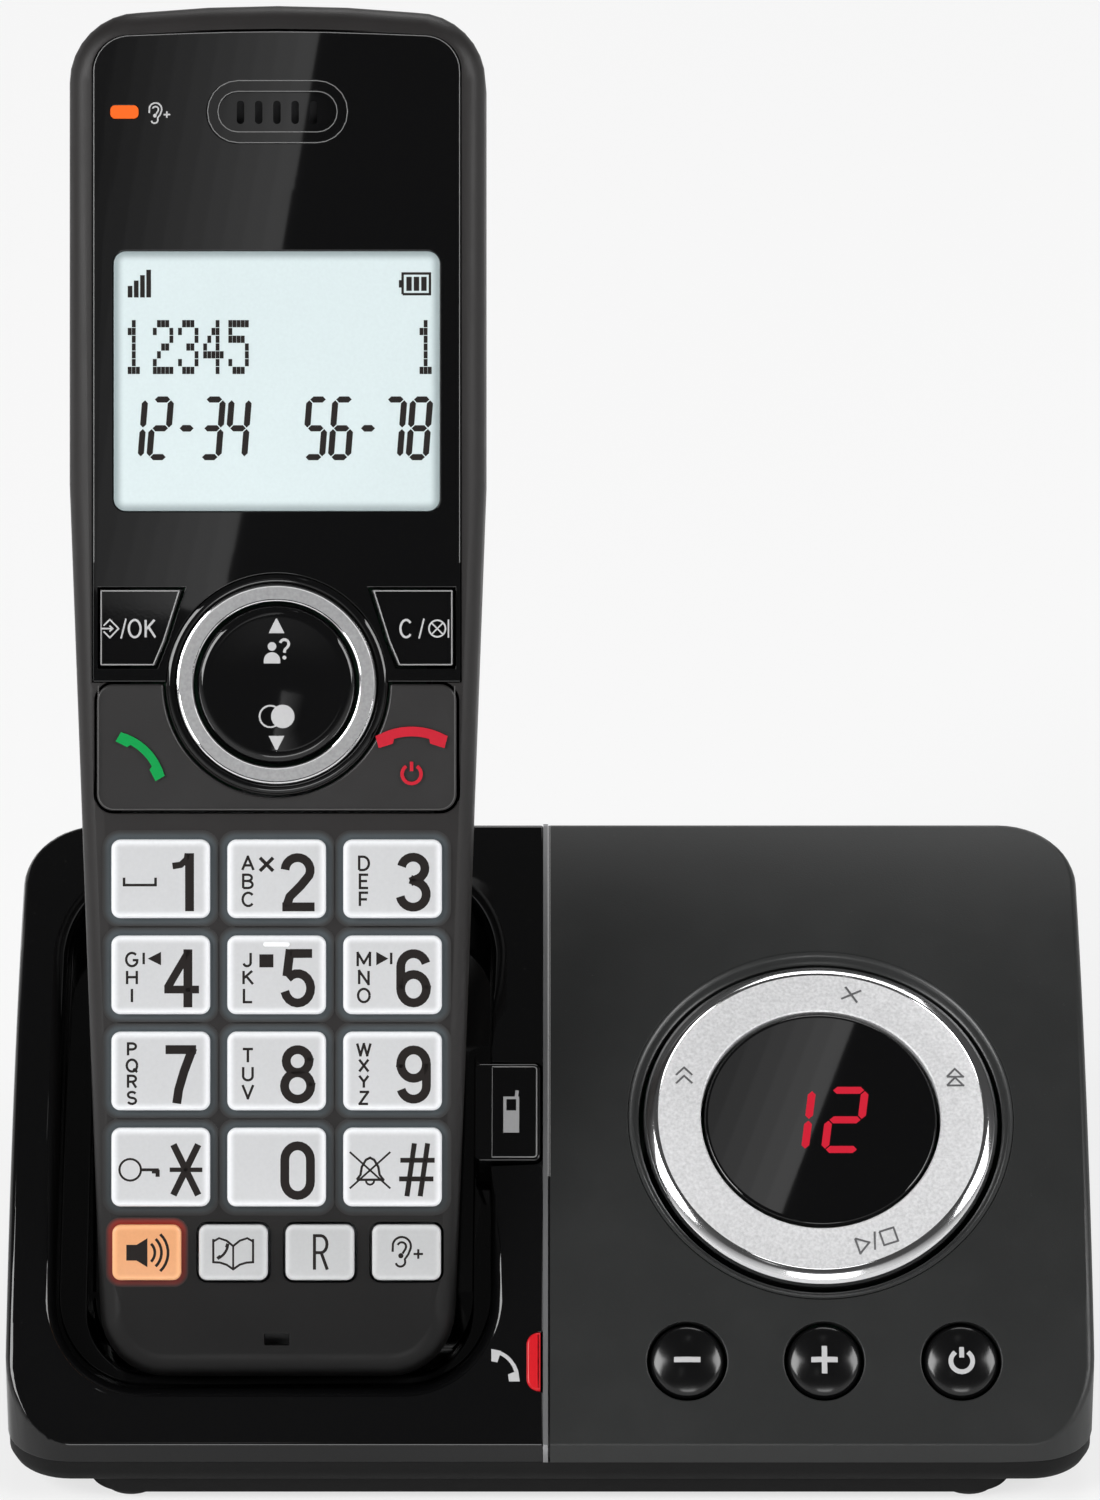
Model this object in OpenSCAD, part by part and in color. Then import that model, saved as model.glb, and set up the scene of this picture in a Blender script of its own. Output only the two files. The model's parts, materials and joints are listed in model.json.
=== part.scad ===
// Cordless telephone with answering machine: the base and the handset that stands in its cradle.
// Millimetres, +Z up. The front faces -Y and the origin is under the middle of the whole object.

/* [Base] */
// Width of the base, left to right
base_w = 132; // [128:1:150]
// Depth of the base, front wall to back wall
base_d = 71; // [70:1:80]
// Height of the curved top's front edge above the table
front_h = 8.5; // [8:0.1:10]
// Height of the curved top where it meets the back wall
back_h = 57.5; // [55:0.5:62]
// Radius of the curved top, seen from the side
face_r = 150; // [135:1:220]
// Height of the joint between the top covers and the lower housing
parting_h = 6; // [5.5:0.1:6.5]
// Corner radius of the base at the front, seen from above
front_corner_r = 8; // [5:0.5:10]
// Corner radius of the base at the back, seen from above
back_corner_r = 9.5; // [5:0.5:12]
// Rounding of the top covers' edges
cover_edge_r = 1.2; // [0.8:0.1:1.8]
// Wall thickness of the base's housing parts
wall = 2; // [1.6:0.1:2.2]

/* [Plinth and feet] */
// Height of the lower housing's underside above the table
housing_low_h = 3.1; // [2.8:0.1:3.4]
// Height of the plinth's underside above the table
plinth_low_h = 0.8; // [0.5:0.1:1.2]
// Plinth's step in from the base's side
plinth_side = 10; // [6:0.5:14]
// Plinth's step in from the base's front
plinth_front = 1.6; // [1:0.1:4]
// Radius of a rubber foot
foot_r = 3.2; // [2.5:0.1:4]

/* [Seam] */
// Width of the bright strip between the two top covers
trim_w = 0.6; // [0.4:0.1:1]
// Dark gap between the strip and the right cover
trim_gap = 0.25; // [0.1:0.05:0.4]

/* [Cradle] */
// Angle at which the handset leans back from upright
lean = 26; // [22:1:28]
// Handset's middle, measured from the base's middle
handset_x = -33; // [-35:0.5:-32]
// Handset's lower front edge, behind the base's front wall
stand_y = 4.1; // [3.8:0.1:6]
// Handset's lower front edge above the table
stand_h = 15.4; // [15:0.1:17]
// Width of the dish around the handset
dish_w = 52.8; // [52:0.2:55]
// Depth of the dish under the curved top
dish_depth = 7; // [6.8:0.1:8]
// Corner radius of the dish at its lower end
dish_r = 10.5; // [6:0.5:13]
// Length of the dish, from the lip up along the handset
dish_len = 62; // [56:1:64]
// Clearance between the handset and the socket that holds it
cradle_gap = 0.5; // [0.4:0.1:0.8]

/* [Answering machine keys] */
// Middle of the control ring, to the right of the base's middle
ring_x = 33.2; // [31:0.1:36]
// Slope of the curved top at the control ring's middle
ring_slope = 35.4; // [34:0.1:37]
// Outer radius of the control ring
ring_r = 21.8; // [20:0.1:23]
// Inner radius of the control ring
ring_hole_r = 14.7; // [13:0.1:15.5]
// Angle that the control ring tilts when one side is pressed
ring_tilt = 2; // [1:0.1:2.2]
// Clearance round the control ring
ring_gap = 0.5; // [0.4:0.05:0.8]
// Radius of the recess round the ring
recess_r = 23.6; // [22.8:0.1:24.5]
// Depth of the recess round the ring
recess_depth = 1.3; // [0.8:0.1:1.6]
// Distance from one round key to the next
round_key_pitch = 16.6; // [14:0.1:18]
// Slope of the curved top at the round keys
round_key_slope = 47.4; // [46.5:0.1:47.8]
// Radius of a round key
round_key_r = 4.5; // [3.5:0.1:5]
// Travel of a key on the base
base_travel = 0.7; // [0.4:0.1:0.8]
// Clearance round a key on the base
base_key_gap = 0.35; // [0.25:0.05:0.5]

/* [Handset] */
// Length of the handset
handset_len = 166; // [162:1:172]
// Width of the handset across its upper half
handset_w = 50.4; // [49:0.2:52]
// Width of the handset at its lower end
handset_low_w = 43; // [42:0.2:44.5]
// Thickness of the handset
handset_t = 26; // [25:0.5:27]
// Depth of the joint between the front and back shells
shell_split = 11; // [9:0.5:13]
// Rounding of the front edges
front_edge_r = 3; // [2:0.1:3.5]
// Rounding of the back edges
back_edge_r = 9; // [7:0.5:10]
// Wall thickness of the handset's shells
shell_wall = 1.8; // [1.5:0.1:2]

/* [Handset face] */
// Width of the glossy face panel
panel_w = 44.4; // [43:0.2:45]
// Lower edge of the face panel, above the handset's lower end
panel_low = 84.1; // [83:0.1:86]
// Gap between the face panel's top and the handset's top
panel_top_gap = 3.3; // [2.8:0.1:5]
// Thickness of the face panel
panel_t = 1.2; // [1:0.1:1.4]
// Width of the display window
window_w = 39.5; // [36:0.5:40]
// Height of the display window
window_h = 31.5; // [28:0.5:33]
// Share of the free length that lies below the display window
window_share = 0.4; // [0.35:0.01:0.45]
// Middle of the earpiece, below the handset's top
earpiece_drop = 13.1; // [12:0.1:14]

/* [Handset keys] */
// Width of a number key
number_w = 11.9; // [10.5:0.1:12.4]
// Height of a number key
number_h = 9.5; // [8.5:0.1:10]
// Distance between number keys, across
number_pitch_x = 14; // [13.4:0.1:14.2]
// Distance between number keys, along the handset
number_pitch_y = 11.6; // [11.2:0.1:11.8]
// Middle of the bottom row of number keys, above the handset's lower end
number_low = 25.5; // [25:0.1:26.5]
// Width of a function key
function_w = 8.3; // [7.5:0.1:8.8]
// Height of a function key
function_h = 6.7; // [6:0.1:7.2]
// Distance between function keys
function_pitch = 10.45; // [10:0.05:10.8]
// Middle of the function keys, above the handset's lower end
function_at = 15.2; // [14.5:0.1:15.6]
// Middle of the round navigation key, above the handset's lower end
nav_at = 83.8; // [83:0.1:84.5]
// Radius of the navigation key
nav_r = 9.6; // [8.5:0.1:9.7]
// Outer radius of the bright ring round the navigation key
nav_ring_r = 12.2; // [11.5:0.1:12.4]
// Height of the plate that carries the call and end keys
call_h = 15.3; // [14:0.1:15.6]
// How far keys stand out of the handset's face
key_out = 0.9; // [0.7:0.1:1.2]
// Travel of a handset key
key_travel = 0.6; // [0.4:0.05:0.7]
// Clearance round a handset key
key_gap = 0.3; // [0.2:0.05:0.4]

/* [Sockets] */
// Width of the line socket's opening
line_w = 9.8; // [9.6:0.1:10.2]
// Height of the line socket's opening
line_h = 6.8; // [6.6:0.1:7.2]
// Bore radius of the power socket
power_r = 2.9; // [2.8:0.1:3.1]

/* [Hidden] */

black_gloss = "#0b0b0c";
black_satin = "#2b2c2c";
charcoal = "#3a3838";
silver = "#c6c7c9";
key_white = "#dcdde0";
board_green = "#1f5a3a";

// Where the curved top's circle is centred: it passes through the front and back edges
chord = sqrt(pow(base_d, 2) + pow(back_h - front_h, 2));
chord_slope = atan2(back_h - front_h, base_d);
chord_to_axis = sqrt(pow(face_r, 2) - pow(chord / 2, 2));
arc_y = base_d / 2 + sin(chord_slope) * chord_to_axis;
arc_z = (front_h + back_h) / 2 - cos(chord_slope) * chord_to_axis;

// The whole object's depth runs from the base's front wall to the handset's upper back edge
depth_all = stand_y + (handset_len - back_edge_r) * sin(lean)
    + (handset_t - back_edge_r) * cos(lean) + back_edge_r;

// Handset outline: the sides taper in three steps from the upper half to the lower end
taper_top = 108;
taper_mid = 84;
taper_low = 56;
mid_w = handset_low_w + (handset_w - handset_low_w) * 0.78;
low_mid_w = handset_low_w + (handset_w - handset_low_w) * 0.43;
top_corner_r = 8.5;
low_corner_r = 8;
top_crown = 0.8;
big_fn = 180;
round_fn = 48;
edge_fn = 16;
slice_t = 0.05;
socket_depth = handset_t + cradle_gap;
dish_shift = -0.6;
lip_gap = 1.5;
reach = 60;

// Heights inside the base
floor_h = plinth_low_h + wall - 0.2;
deck_h = housing_low_h + wall - 0.2;
board_h = 10;
board_t = 1.6;
key_board_depth = 12;

// Depths inside the handset, from its face
mat_depth = 3.4;
mat_t = 0.8;
board_depth = 4.4;
handset_board_t = 1.2;
key_root = mat_depth - key_travel - 0.2;

// Heights on the handset's face
earpiece_w = 16.9;
earpiece_h = 7.5;
earpiece_at = handset_len - earpiece_drop;
window_free = earpiece_at - earpiece_h / 2 - nav_at - nav_ring_r - window_h;
window_at = nav_at + nav_ring_r + window_free * window_share + window_h / 2;
mat_low = function_at - 6.2;
mat_high = number_low + 3 * number_pitch_y + 10.7;

// ---------- shared shapes ----------

module base_place() {
    translate([0, -depth_all / 2, 0]) children();
}

module handset_place() {
    base_place()
        translate([handset_x, stand_y, stand_h])
            rotate([-lean, 0, 0])
                children();
}

// Puts a piece on the curved top, with +Z out of the surface and +Y up the slope
module face_place(x, slope) {
    base_place()
        translate([x, arc_y - face_r * sin(slope), arc_z + face_r * cos(slope)])
            rotate([slope, 0, 0])
                children();
}

// Puts a flat outline in the handset's face plane and extrudes it into the handset
module into_face(from, to) {
    translate([0, to, 0]) rotate([90, 0, 0]) linear_extrude(to - from) children();
}

module rounded_rect(w, h, r, fn = round_fn) {
    square([w - 2 * r, h], center = true);
    square([w, h - 2 * r], center = true);
    for (x = [-1, 1], y = [-1, 1])
        translate([x * (w / 2 - r), y * (h / 2 - r)]) circle(r = r, $fn = fn);
}

// The base seen from above
module base_plan(inset) {
    half = base_w / 2 - inset;
    front_r = front_corner_r - inset;
    back_r = back_corner_r - inset;
    back_y = base_d - inset;
    polygon([
        [-half, inset + front_r], [-half + front_r, inset],
        [half - front_r, inset], [half, inset + front_r],
        [half, back_y - back_r], [half - back_r, back_y],
        [-half + back_r, back_y], [-half, back_y - back_r]
    ]);
    for (side = [-1, 1]) {
        translate([side * (half - front_r), inset + front_r]) circle(r = front_r, $fn = round_fn);
        translate([side * (half - back_r), back_y - back_r]) circle(r = back_r, $fn = round_fn);
    }
}

// The base seen from the side, under its curved top
module base_side(inset) {
    intersection() {
        translate([arc_y, arc_z]) circle(r = face_r - inset, $fn = big_fn);
        translate([inset, 0]) square([base_d - 2 * inset, back_h * 2]);
    }
}

module across(from, to) {
    translate([from, 0, 0]) rotate([90, 0, 90]) linear_extrude(to - from) children();
}

module base_core(inset, low) {
    intersection() {
        under_face(inset);
        translate([0, 0, low]) linear_extrude(back_h * 2) base_plan(inset);
    }
}

// Both covers are cut from this one rounded body
module cover_body() {
    intersection() {
        minkowski() {
            base_core(cover_edge_r, 1);
            sphere(r = cover_edge_r, $fn = edge_fn);
        }
        translate([-base_w, -1, parting_h]) cube([2 * base_w, base_d + 2, back_h * 2]);
    }
}

module cover_slab(from, to) {
    translate([from, -1, 0]) cube([to - from, base_d + 2, back_h * 2]);
}

// A slice of the base between two depths under the curved top
module under_face(depth) {
    across(-base_w, base_w) translate([arc_y, arc_z]) circle(r = face_r - depth, $fn = big_fn);
}

module handset_outline() {
    top_y = handset_len - top_crown - top_corner_r;
    top_x = handset_w / 2 - top_corner_r;
    low_x = handset_low_w / 2 - low_corner_r;
    crown_r = (pow(top_x, 2) + pow(top_crown, 2)) / (2 * top_crown);
    polygon([
        [-low_x, 0], [low_x, 0], [handset_low_w / 2, low_corner_r],
        [low_mid_w / 2, taper_low], [mid_w / 2, taper_mid], [handset_w / 2, taper_top],
        [handset_w / 2, top_y], [top_x, handset_len - top_crown],
        [-top_x, handset_len - top_crown], [-handset_w / 2, top_y],
        [-handset_w / 2, taper_top], [-mid_w / 2, taper_mid], [-low_mid_w / 2, taper_low],
        [-handset_low_w / 2, low_corner_r]
    ]);
    for (side = [-1, 1]) {
        translate([side * low_x, low_corner_r]) circle(r = low_corner_r, $fn = round_fn);
        translate([side * top_x, top_y]) circle(r = top_corner_r, $fn = round_fn);
    }
    intersection() {
        translate([0, handset_len - crown_r]) circle(r = crown_r, $fn = big_fn);
        translate([-top_x, handset_len - 5]) square([2 * top_x, 6]);
    }
}

// How far a quarter-round edge has drawn in at a share of its radius
function round_in(r, share) = r * (1 - sqrt(1 - pow(share, 2)));

// One slice of the handset's body, its round corners drawn in by inset
module body_slice(from, to, inset) {
    top_x = handset_w / 2 - top_corner_r;
    top_z = handset_len - top_crown - top_corner_r;
    spots = [
        [handset_low_w / 2 - low_corner_r, low_corner_r, low_corner_r],
        [mid_w / 2 - top_corner_r, taper_mid, top_corner_r],
        [top_x, taper_top, top_corner_r],
        [top_x, top_z, top_corner_r],
        [top_x / 2, top_z + top_crown * 0.75, top_corner_r],
        [0, top_z + top_crown, top_corner_r]
    ];
    for (spot = spots, side = [-1, 1])
        translate([side * spot[0], from, spot[1]])
            rotate([-90, 0, 0]) cylinder(r = spot[2] - inset, h = to - from, $fn = 32);
}

// The handset's smooth body, a hull through slices whose edges draw in towards the front and back
module handset_body(shrink) {
    front_r = front_edge_r;
    back_r = back_edge_r - shrink;
    straight_from = front_r + shrink;
    straight_to = handset_t - back_edge_r;
    hull() {
        for (share = [0, 0.08, 0.3, 0.62])
            let (depth = shrink + share * front_r)
                body_slice(depth, depth + slice_t, shrink + round_in(front_r, 1 - share));
        body_slice(straight_from, straight_to, shrink);
        for (share = [0.38, 0.66, 0.87, 1])
            let (depth = straight_to + share * back_r)
                body_slice(depth - slice_t, depth, shrink + min(round_in(back_r, share), 0.66 * back_r));
    }
}

// ---------- base: covers and housing ----------

module dish_outline(grow) {
    w = dish_w + 2 * grow;
    translate([dish_shift, dish_len / 2 - lip_gap])
        rounded_rect(w, dish_len + 2 * grow, dish_r + grow);
}

// The dish follows the curved top at a constant depth
module dish_cut() {
    difference() {
        handset_place() into_face(-reach, reach) dish_outline(0);
        base_place() under_face(dish_depth);
    }
}

module dish_block() {
    difference() {
        intersection() {
            base_place() base_core(wall / 2, parting_h);
            handset_place() into_face(-reach, reach) dish_outline(wall);
        }
        base_place() under_face(dish_depth + wall);
    }
}

module socket_side(grow) {
    r = back_edge_r;
    deep = socket_depth + grow;
    low = -cradle_gap - grow;
    translate([-reach, low]) square([reach + deep - r, handset_len]);
    translate([-reach, low + r]) square([reach + deep, handset_len - r]);
    translate([deep - r, low + r]) circle(r = r, $fn = round_fn);
}

// The socket that the handset's lower end stands in
module socket_shape(grow) {
    gap = cradle_gap + grow;
    handset_place()
        intersection() {
            into_face(-reach, reach)
                union() {
                    translate([0, taper_low / 2 + 1]) rounded_rect(low_mid_w + 2 * gap, taper_low + 2 + 2 * gap, low_corner_r);
                    translate([0, handset_len / 2]) square([low_mid_w + 2 * gap, handset_len - 2 * low_corner_r], center = true);
                }
            across(-reach, reach) socket_side(grow);
        }
}

find_key_w = 8.1;
find_key_len = 13.2;
find_key_slope = 35.2;
find_key_deep = 5.8;
lamp_w = 1.7;
lamp_len = 7.2;
lamp_slope = 47.45;
trim_from = -trim_gap - trim_w;

module find_key_block(grow, deep, top) {
    translate([trim_from - find_key_w / 2 - base_key_gap, 0, -deep])
        linear_extrude(deep + top) rounded_rect(find_key_w + 2 * grow, find_key_len + 2 * grow, 0.8 + grow);
}

module lamp_block(grow, deep, top) {
    translate([trim_from - lamp_w, 0, -deep]) {
        linear_extrude(deep + top) {
            translate([0, -lamp_len / 2 + 1 - grow]) square([lamp_w, lamp_len - 2 + 2 * grow]);
            translate([1 - grow, -lamp_len / 2 - grow]) square([lamp_w - 1 + grow, lamp_len + 2 * grow]);
        }
    }
}

contact_x = 6.5;
contact_w = 3;
contact_from = 12;
contact_to = 16.5;

// Four screws hold the covers down on the lower housing
screw_side = base_w / 2 - 33;
screw_back = base_d - 8;
screw_spots = [[-screw_side - 11, 12], [5.5, 12], [-screw_side, screw_back], [screw_side, screw_back]];
boss_low = deck_h + 0.6;

module screw_bosses(picks) {
    base_place()
        for (i = picks)
            translate([screw_spots[i][0], screw_spots[i][1], boss_low]) cylinder(r = 2.6, h = reach, $fn = round_fn);
}

module screw_bores(picks) {
    base_place()
        for (i = picks)
            translate([screw_spots[i][0], screw_spots[i][1], 0]) cylinder(r = 1.3, h = boss_low + 5, $fn = round_fn);
}

module cradle_cover() color(black_gloss) {
    difference() {
        union() {
            difference() {
                base_place()
                    intersection() {
                        cover_body();
                        cover_slab(-base_w, trim_from);
                    }
                base_place() base_core(wall, 0);
            }
            intersection() {
                union() {
                    dish_block();
                    intersection() {
                        socket_shape(wall - 0.2);
                        base_place() base_core(wall / 2, 0);
                    }
                    intersection() {
                        screw_bosses([0, 2]);
                        base_place() base_core(wall / 2, 0);
                    }
                }
                base_place() cover_slab(-base_w, trim_from);
            }
        }
        screw_bores([0, 2]);
        dish_cut();
        socket_shape(0);
        face_place(0, find_key_slope) find_key_block(base_key_gap, dish_depth - 0.3, 5);
        face_place(0, lamp_slope) lamp_block(0, 10, 5);
        handset_place()
            for (side = [-1, 1])
                translate([side * contact_x - contact_w / 2 - 0.1, contact_from - 0.1, -cradle_gap - 4])
                    cube([contact_w + 0.2, 2.2, 4.1]);
    }
}

// The two sockets stand on either side of the back screw pillar
line_x = screw_side - 11;
line_deep = 12;
power_x = screw_side + 11;
power_deep = 9;
socket_at = board_h + board_t + 5.5;

// The key board lies parallel to the control ring and hangs on four posts
key_board_w = 46;
key_board_low = -35;
key_board_high = 25;
post_spots = [[-20, -22], [20, -22], [-20, 22], [20, 22]];

module key_board_place() {
    face_place(ring_x, ring_slope) translate([0, 0, -key_board_depth]) children();
}

// A disc about the control ring's centre, as tall above the surface as below it
module ring_disc(r, tall) {
    face_place(ring_x, ring_slope) translate([0, 0, -tall]) cylinder(r = r, h = 2 * tall, $fn = round_fn);
}

module control_cover() color(black_satin) {
    difference() {
        union() {
            difference() {
                base_place()
                    intersection() {
                        cover_body();
                        cover_slab(0, base_w);
                    }
                base_place() base_core(wall, 0);
            }
            intersection() {
                union() {
                    key_board_place()
                        for (spot = post_spots)
                            translate([spot[0], spot[1], board_t]) cylinder(r = 2.2, h = reach / 2, $fn = round_fn);
                    screw_bosses([1, 3]);
                    difference() {
                        ring_disc(recess_r + wall, 8);
                        base_place() under_face(recess_depth + wall);
                    }
                }
                base_place() base_core(wall / 2, 0);
            }
        }
        screw_bores([1, 3]);
        ring_disc(ring_r + ring_gap, 7);
        difference() {
            ring_disc(recess_r, 8);
            base_place() under_face(recess_depth);
        }
        for (i = [-1, 0, 1])
            face_place(ring_x + i * round_key_pitch, round_key_slope)
                translate([0, 0, -reach / 4]) cylinder(r = round_key_r + base_key_gap, h = reach / 2, $fn = round_fn);
        base_place() translate([line_x, base_d, socket_at]) cube([line_w + 0.6, 3 * wall, line_h + 0.6], center = true);
        base_place() translate([power_x, base_d - 2 * wall, socket_at]) rotate([-90, 0, 0]) cylinder(r = power_r + 0.3, h = 4 * wall, $fn = round_fn);
    }
}

module seam_trim() color(silver) {
    base_place()
        difference() {
            intersection() {
                across(trim_from, -trim_gap) base_side(0.05);
                translate([-base_w, -1, parting_h]) cube([2 * base_w, base_d + 2, back_h * 2]);
            }
            across(trim_from - 1, 1) base_side(1.25 * wall);
        }
}

plinth_w = base_w - 2 * plinth_side;
plinth_back = 4;
foot_x = plinth_w / 2 - foot_r - 1.9;
foot_front = plinth_front + foot_r + 0.9;
foot_back = base_d - 8;
foot_t = 1.4;
screw_head_h = 1.6;
speaker_x = base_w / 2 - 30;
speaker_y = base_d - 27;
speaker_r = 14;

module plinth_plan(inset) {
    deep = base_d - plinth_front - plinth_back;
    translate([0, plinth_front + deep / 2]) rounded_rect(plinth_w - 2 * inset, deep - 2 * inset, 5 - inset);
}

module lower_housing() color("#161616") {
    base_place()
        difference() {
            union() {
                hull() {
                    translate([0, 0, parting_h - 1.6]) linear_extrude(1.6) base_plan(0.2);
                    translate([0, 0, housing_low_h]) linear_extrude(0.02) base_plan(0.9);
                }
                translate([0, 0, plinth_low_h]) linear_extrude(housing_low_h - plinth_low_h + 0.5) plinth_plan(0);
            }
            translate([0, 0, deck_h]) linear_extrude(reach) base_plan(wall);
            translate([0, 0, floor_h]) linear_extrude(reach) plinth_plan(wall);
            for (x = [-foot_x, foot_x], y = [foot_front, foot_back])
                translate([x, y, 0]) cylinder(r = foot_r + 0.1, h = foot_t, $fn = round_fn);
            for (i = [-3:3])
                translate([speaker_x + i * 3.4, speaker_y, 0])
                    linear_extrude(reach / 4) rounded_rect(1.6, 18 - 1.4 * abs(i), 0.79);
            for (spot = screw_spots)
                translate([spot[0], spot[1], 0]) cylinder(r = 3.2, h = reach, $fn = round_fn);
        }
    base_place()
        for (spot = screw_spots)
            translate([spot[0], spot[1], plinth_low_h])
                difference() {
                    cylinder(r = 3.4, h = boss_low - plinth_low_h, $fn = round_fn);
                    translate([0, 0, -1]) cylinder(r = 2.5, h = 1 + screw_head_h, $fn = round_fn);
                    translate([0, 0, -1]) cylinder(r = 1.35, h = reach, $fn = round_fn);
                }
    base_place()
        for (x = [6, 60], y = [28, 63])
            translate([x, y, deck_h - 0.5]) cylinder(r = 2.4, h = board_h - deck_h + 0.5, $fn = round_fn);
}

module rubber_feet() color("#1b1b1b") {
    base_place()
        for (x = [-foot_x, foot_x], y = [foot_front, foot_back])
            translate([x, y, 0]) cylinder(r = foot_r, h = foot_t, $fn = round_fn);
}

module housing_screws() color("#8f9194") {
    base_place()
        for (spot = screw_spots)
            translate([spot[0], spot[1], plinth_low_h + 0.2])
                difference() {
                    union() {
                        cylinder(r = 1.25, h = boss_low + 3 - plinth_low_h, $fn = round_fn);
                        cylinder(r = 2.3, h = screw_head_h - 0.2, $fn = round_fn);
                    }
                    translate([-1.6, -0.3, -1]) cube([3.2, 0.6, 1.5]);
                    translate([-0.3, -1.6, -1]) cube([0.6, 3.2, 1.5]);
                }
}

// ---------- base: electrical parts ----------

module main_board() color(board_green) {
    base_place()
        difference() {
            translate([2, 24, board_h]) cube([base_w / 2 - wall - 3, base_d - wall - 27, board_t]);
            translate([speaker_x, speaker_y, board_h - 1]) cylinder(r = speaker_r + 0.5, h = 4, $fn = round_fn);
            translate([screw_spots[3][0], screw_spots[3][1], board_h - 1]) cylinder(r = 2.9, h = 4, $fn = round_fn);
        }
}

module key_board() color(board_green) {
    key_board_place()
        difference() {
            translate([-key_board_w / 2, key_board_low, 0]) cube([key_board_w, key_board_high - key_board_low, board_t]);
            for (spot = post_spots) translate([spot[0], spot[1], -1]) cylinder(r = 1.2, h = 4, $fn = round_fn);
        }
}

module switch_at(tall) {
    translate([-2.2, -2.2, 0]) cube([4.4, 4.4, tall - 0.8]);
    cylinder(r = 1.1, h = tall, $fn = round_fn);
}

module key_switches() color("#2a2a2c") {
    key_board_place()
        translate([0, 0, board_t]) {
            for (i = [-1, 0, 1])
                translate([i * round_key_pitch, face_r * sin(ring_slope - round_key_slope) + 1.2, 0]) switch_at(1.3);
            for (a = [0, 90, 180, 270])
                translate([(ring_r - 3) * cos(a), (ring_r - 3) * sin(a), 0]) switch_at(2.6);
        }
}

module base_speaker() color("#3b3b3d") {
    base_place()
        translate([speaker_x, speaker_y, floor_h])
            rotate_extrude($fn = round_fn)
                polygon([
                    [0, 1.6], [5, 1.6], [speaker_r - 2, 0.4], [speaker_r - 2, 0], [speaker_r, 0],
                    [speaker_r, 2.2], [speaker_r - 4, 4.4], [7.5, 4.4], [7.5, 8], [0, 8]
                ]);
}

module line_socket() color("#161618") {
    base_place()
        translate([line_x, base_d - wall, socket_at])
            difference() {
                translate([-6.5, -14, -5.5]) cube([13, 14, 11]);
                translate([-line_w / 2, -line_deep + wall, -line_h / 2]) cube([line_w, line_deep, line_h]);
                translate([-1.6, -line_deep + wall, -line_h / 2 - 1.2]) cube([3.2, line_deep, 2]);
            }
}

module power_socket() color("#161618") {
    base_place()
        translate([power_x, base_d - wall, socket_at])
            rotate([90, 0, 0]) {
                difference() {
                    translate([-5, -5.5, 0]) cube([10, 11, power_deep + 2]);
                    translate([0, 0, -1]) cylinder(r = power_r, h = power_deep + 1, $fn = round_fn);
                }
                translate([0, 0, 1]) cylinder(r = 0.8, h = power_deep, $fn = round_fn);
            }
}

module charge_springs() color("#b9a46a") {
    handset_place()
        for (side = [-1, 1])
            translate([side * contact_x, 0, 0]) {
                translate([-contact_w / 2, contact_from, -cradle_gap])
                    cube([contact_w, contact_to - contact_from, cradle_gap - 0.2]);
                translate([-contact_w / 2, contact_from, -cradle_gap - 3.4])
                    cube([contact_w, 0.5, 3.5]);
            }
}

module display_lens() color(black_gloss) {
    intersection() {
        face_place(ring_x, ring_slope) translate([0, 0, -1.4]) cylinder(r = ring_hole_r - 0.4, h = 3, $fn = round_fn);
        base_place() under_face(-0.1);
    }
    face_place(ring_x, ring_slope) {
        difference() {
            translate([0, 0, board_t - key_board_depth])
                cylinder(r = ring_hole_r - 0.9, h = key_board_depth - board_t - 1.3, $fn = round_fn);
            translate([0, 0, -key_board_depth]) cylinder(r = ring_hole_r - 2.2, h = key_board_depth - 1.4, $fn = round_fn);
        }
    }
}

module counter_display() color("#3a3a3e") {
    face_place(ring_x, ring_slope) {
        translate([-6.5, -4.5, -4.6]) cube([13, 9, 3.2]);
        for (x = [-5, 5], y = [-3.5, 3.5])
            translate([x, y, board_t - key_board_depth]) cylinder(r = 0.3, h = key_board_depth - board_t - 4.5, $fn = round_fn);
    }
}

module message_lamp() color("#d9202a") {
    face_place(0, lamp_slope) lamp_block(0, 2.4, 0.35);
}

// ---------- base: keys ----------

module find_key() color(black_gloss) {
    face_place(0, find_key_slope) {
        difference() {
            find_key_block(0, find_key_deep, 0.3);
            translate([trim_from - 5.4, -find_key_len / 2 + 1.4, -find_key_deep - 1])
                cube([4.2, find_key_len - 2.8, find_key_deep - 1]);
        }
    }
}

module ring_carrier() color("#38383a") {
    face_place(ring_x, ring_slope) {
        difference() {
            translate([0, 0, -6]) cylinder(r = ring_r - 0.6, h = 1.4, $fn = round_fn);
            translate([0, 0, -7]) cylinder(r = ring_hole_r + 0.4, h = 4, $fn = round_fn);
        }
        for (side = [-1, 1])
            translate([side * (ring_r - 4) - 1.5, -0.6, -4.61]) cube([3, 1.2, 0.9]);
        for (a = [0, 90, 180, 270])
            rotate([0, 0, a]) translate([ring_r - 3, 0, -6.9]) cylinder(r = 1.4, h = 1, $fn = round_fn);
    }
}

module control_ring() color(silver) {
    difference() {
        union() {
            for (step = [[0, 0.6], [0.5, 0.1], [1, -0.3]])
                intersection() {
                    ring_disc(ring_r - step[0], 3.6);
                    base_place() under_face(step[1]);
                }
        }
        ring_disc(ring_hole_r, 5);
    }
}

module round_key(i) {
    face_place(ring_x + i * round_key_pitch, round_key_slope) {
        intersection() {
            translate([0, 0, -3.4]) cylinder(r = round_key_r, h = 8, $fn = round_fn);
            translate([0, 0, 0.75 - 2.6 * round_key_r]) sphere(r = 2.6 * round_key_r, $fn = 96);
        }
        translate([0, 0, -4.9]) cylinder(r = 1.6, h = 2, $fn = round_fn);
    }
}

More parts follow.
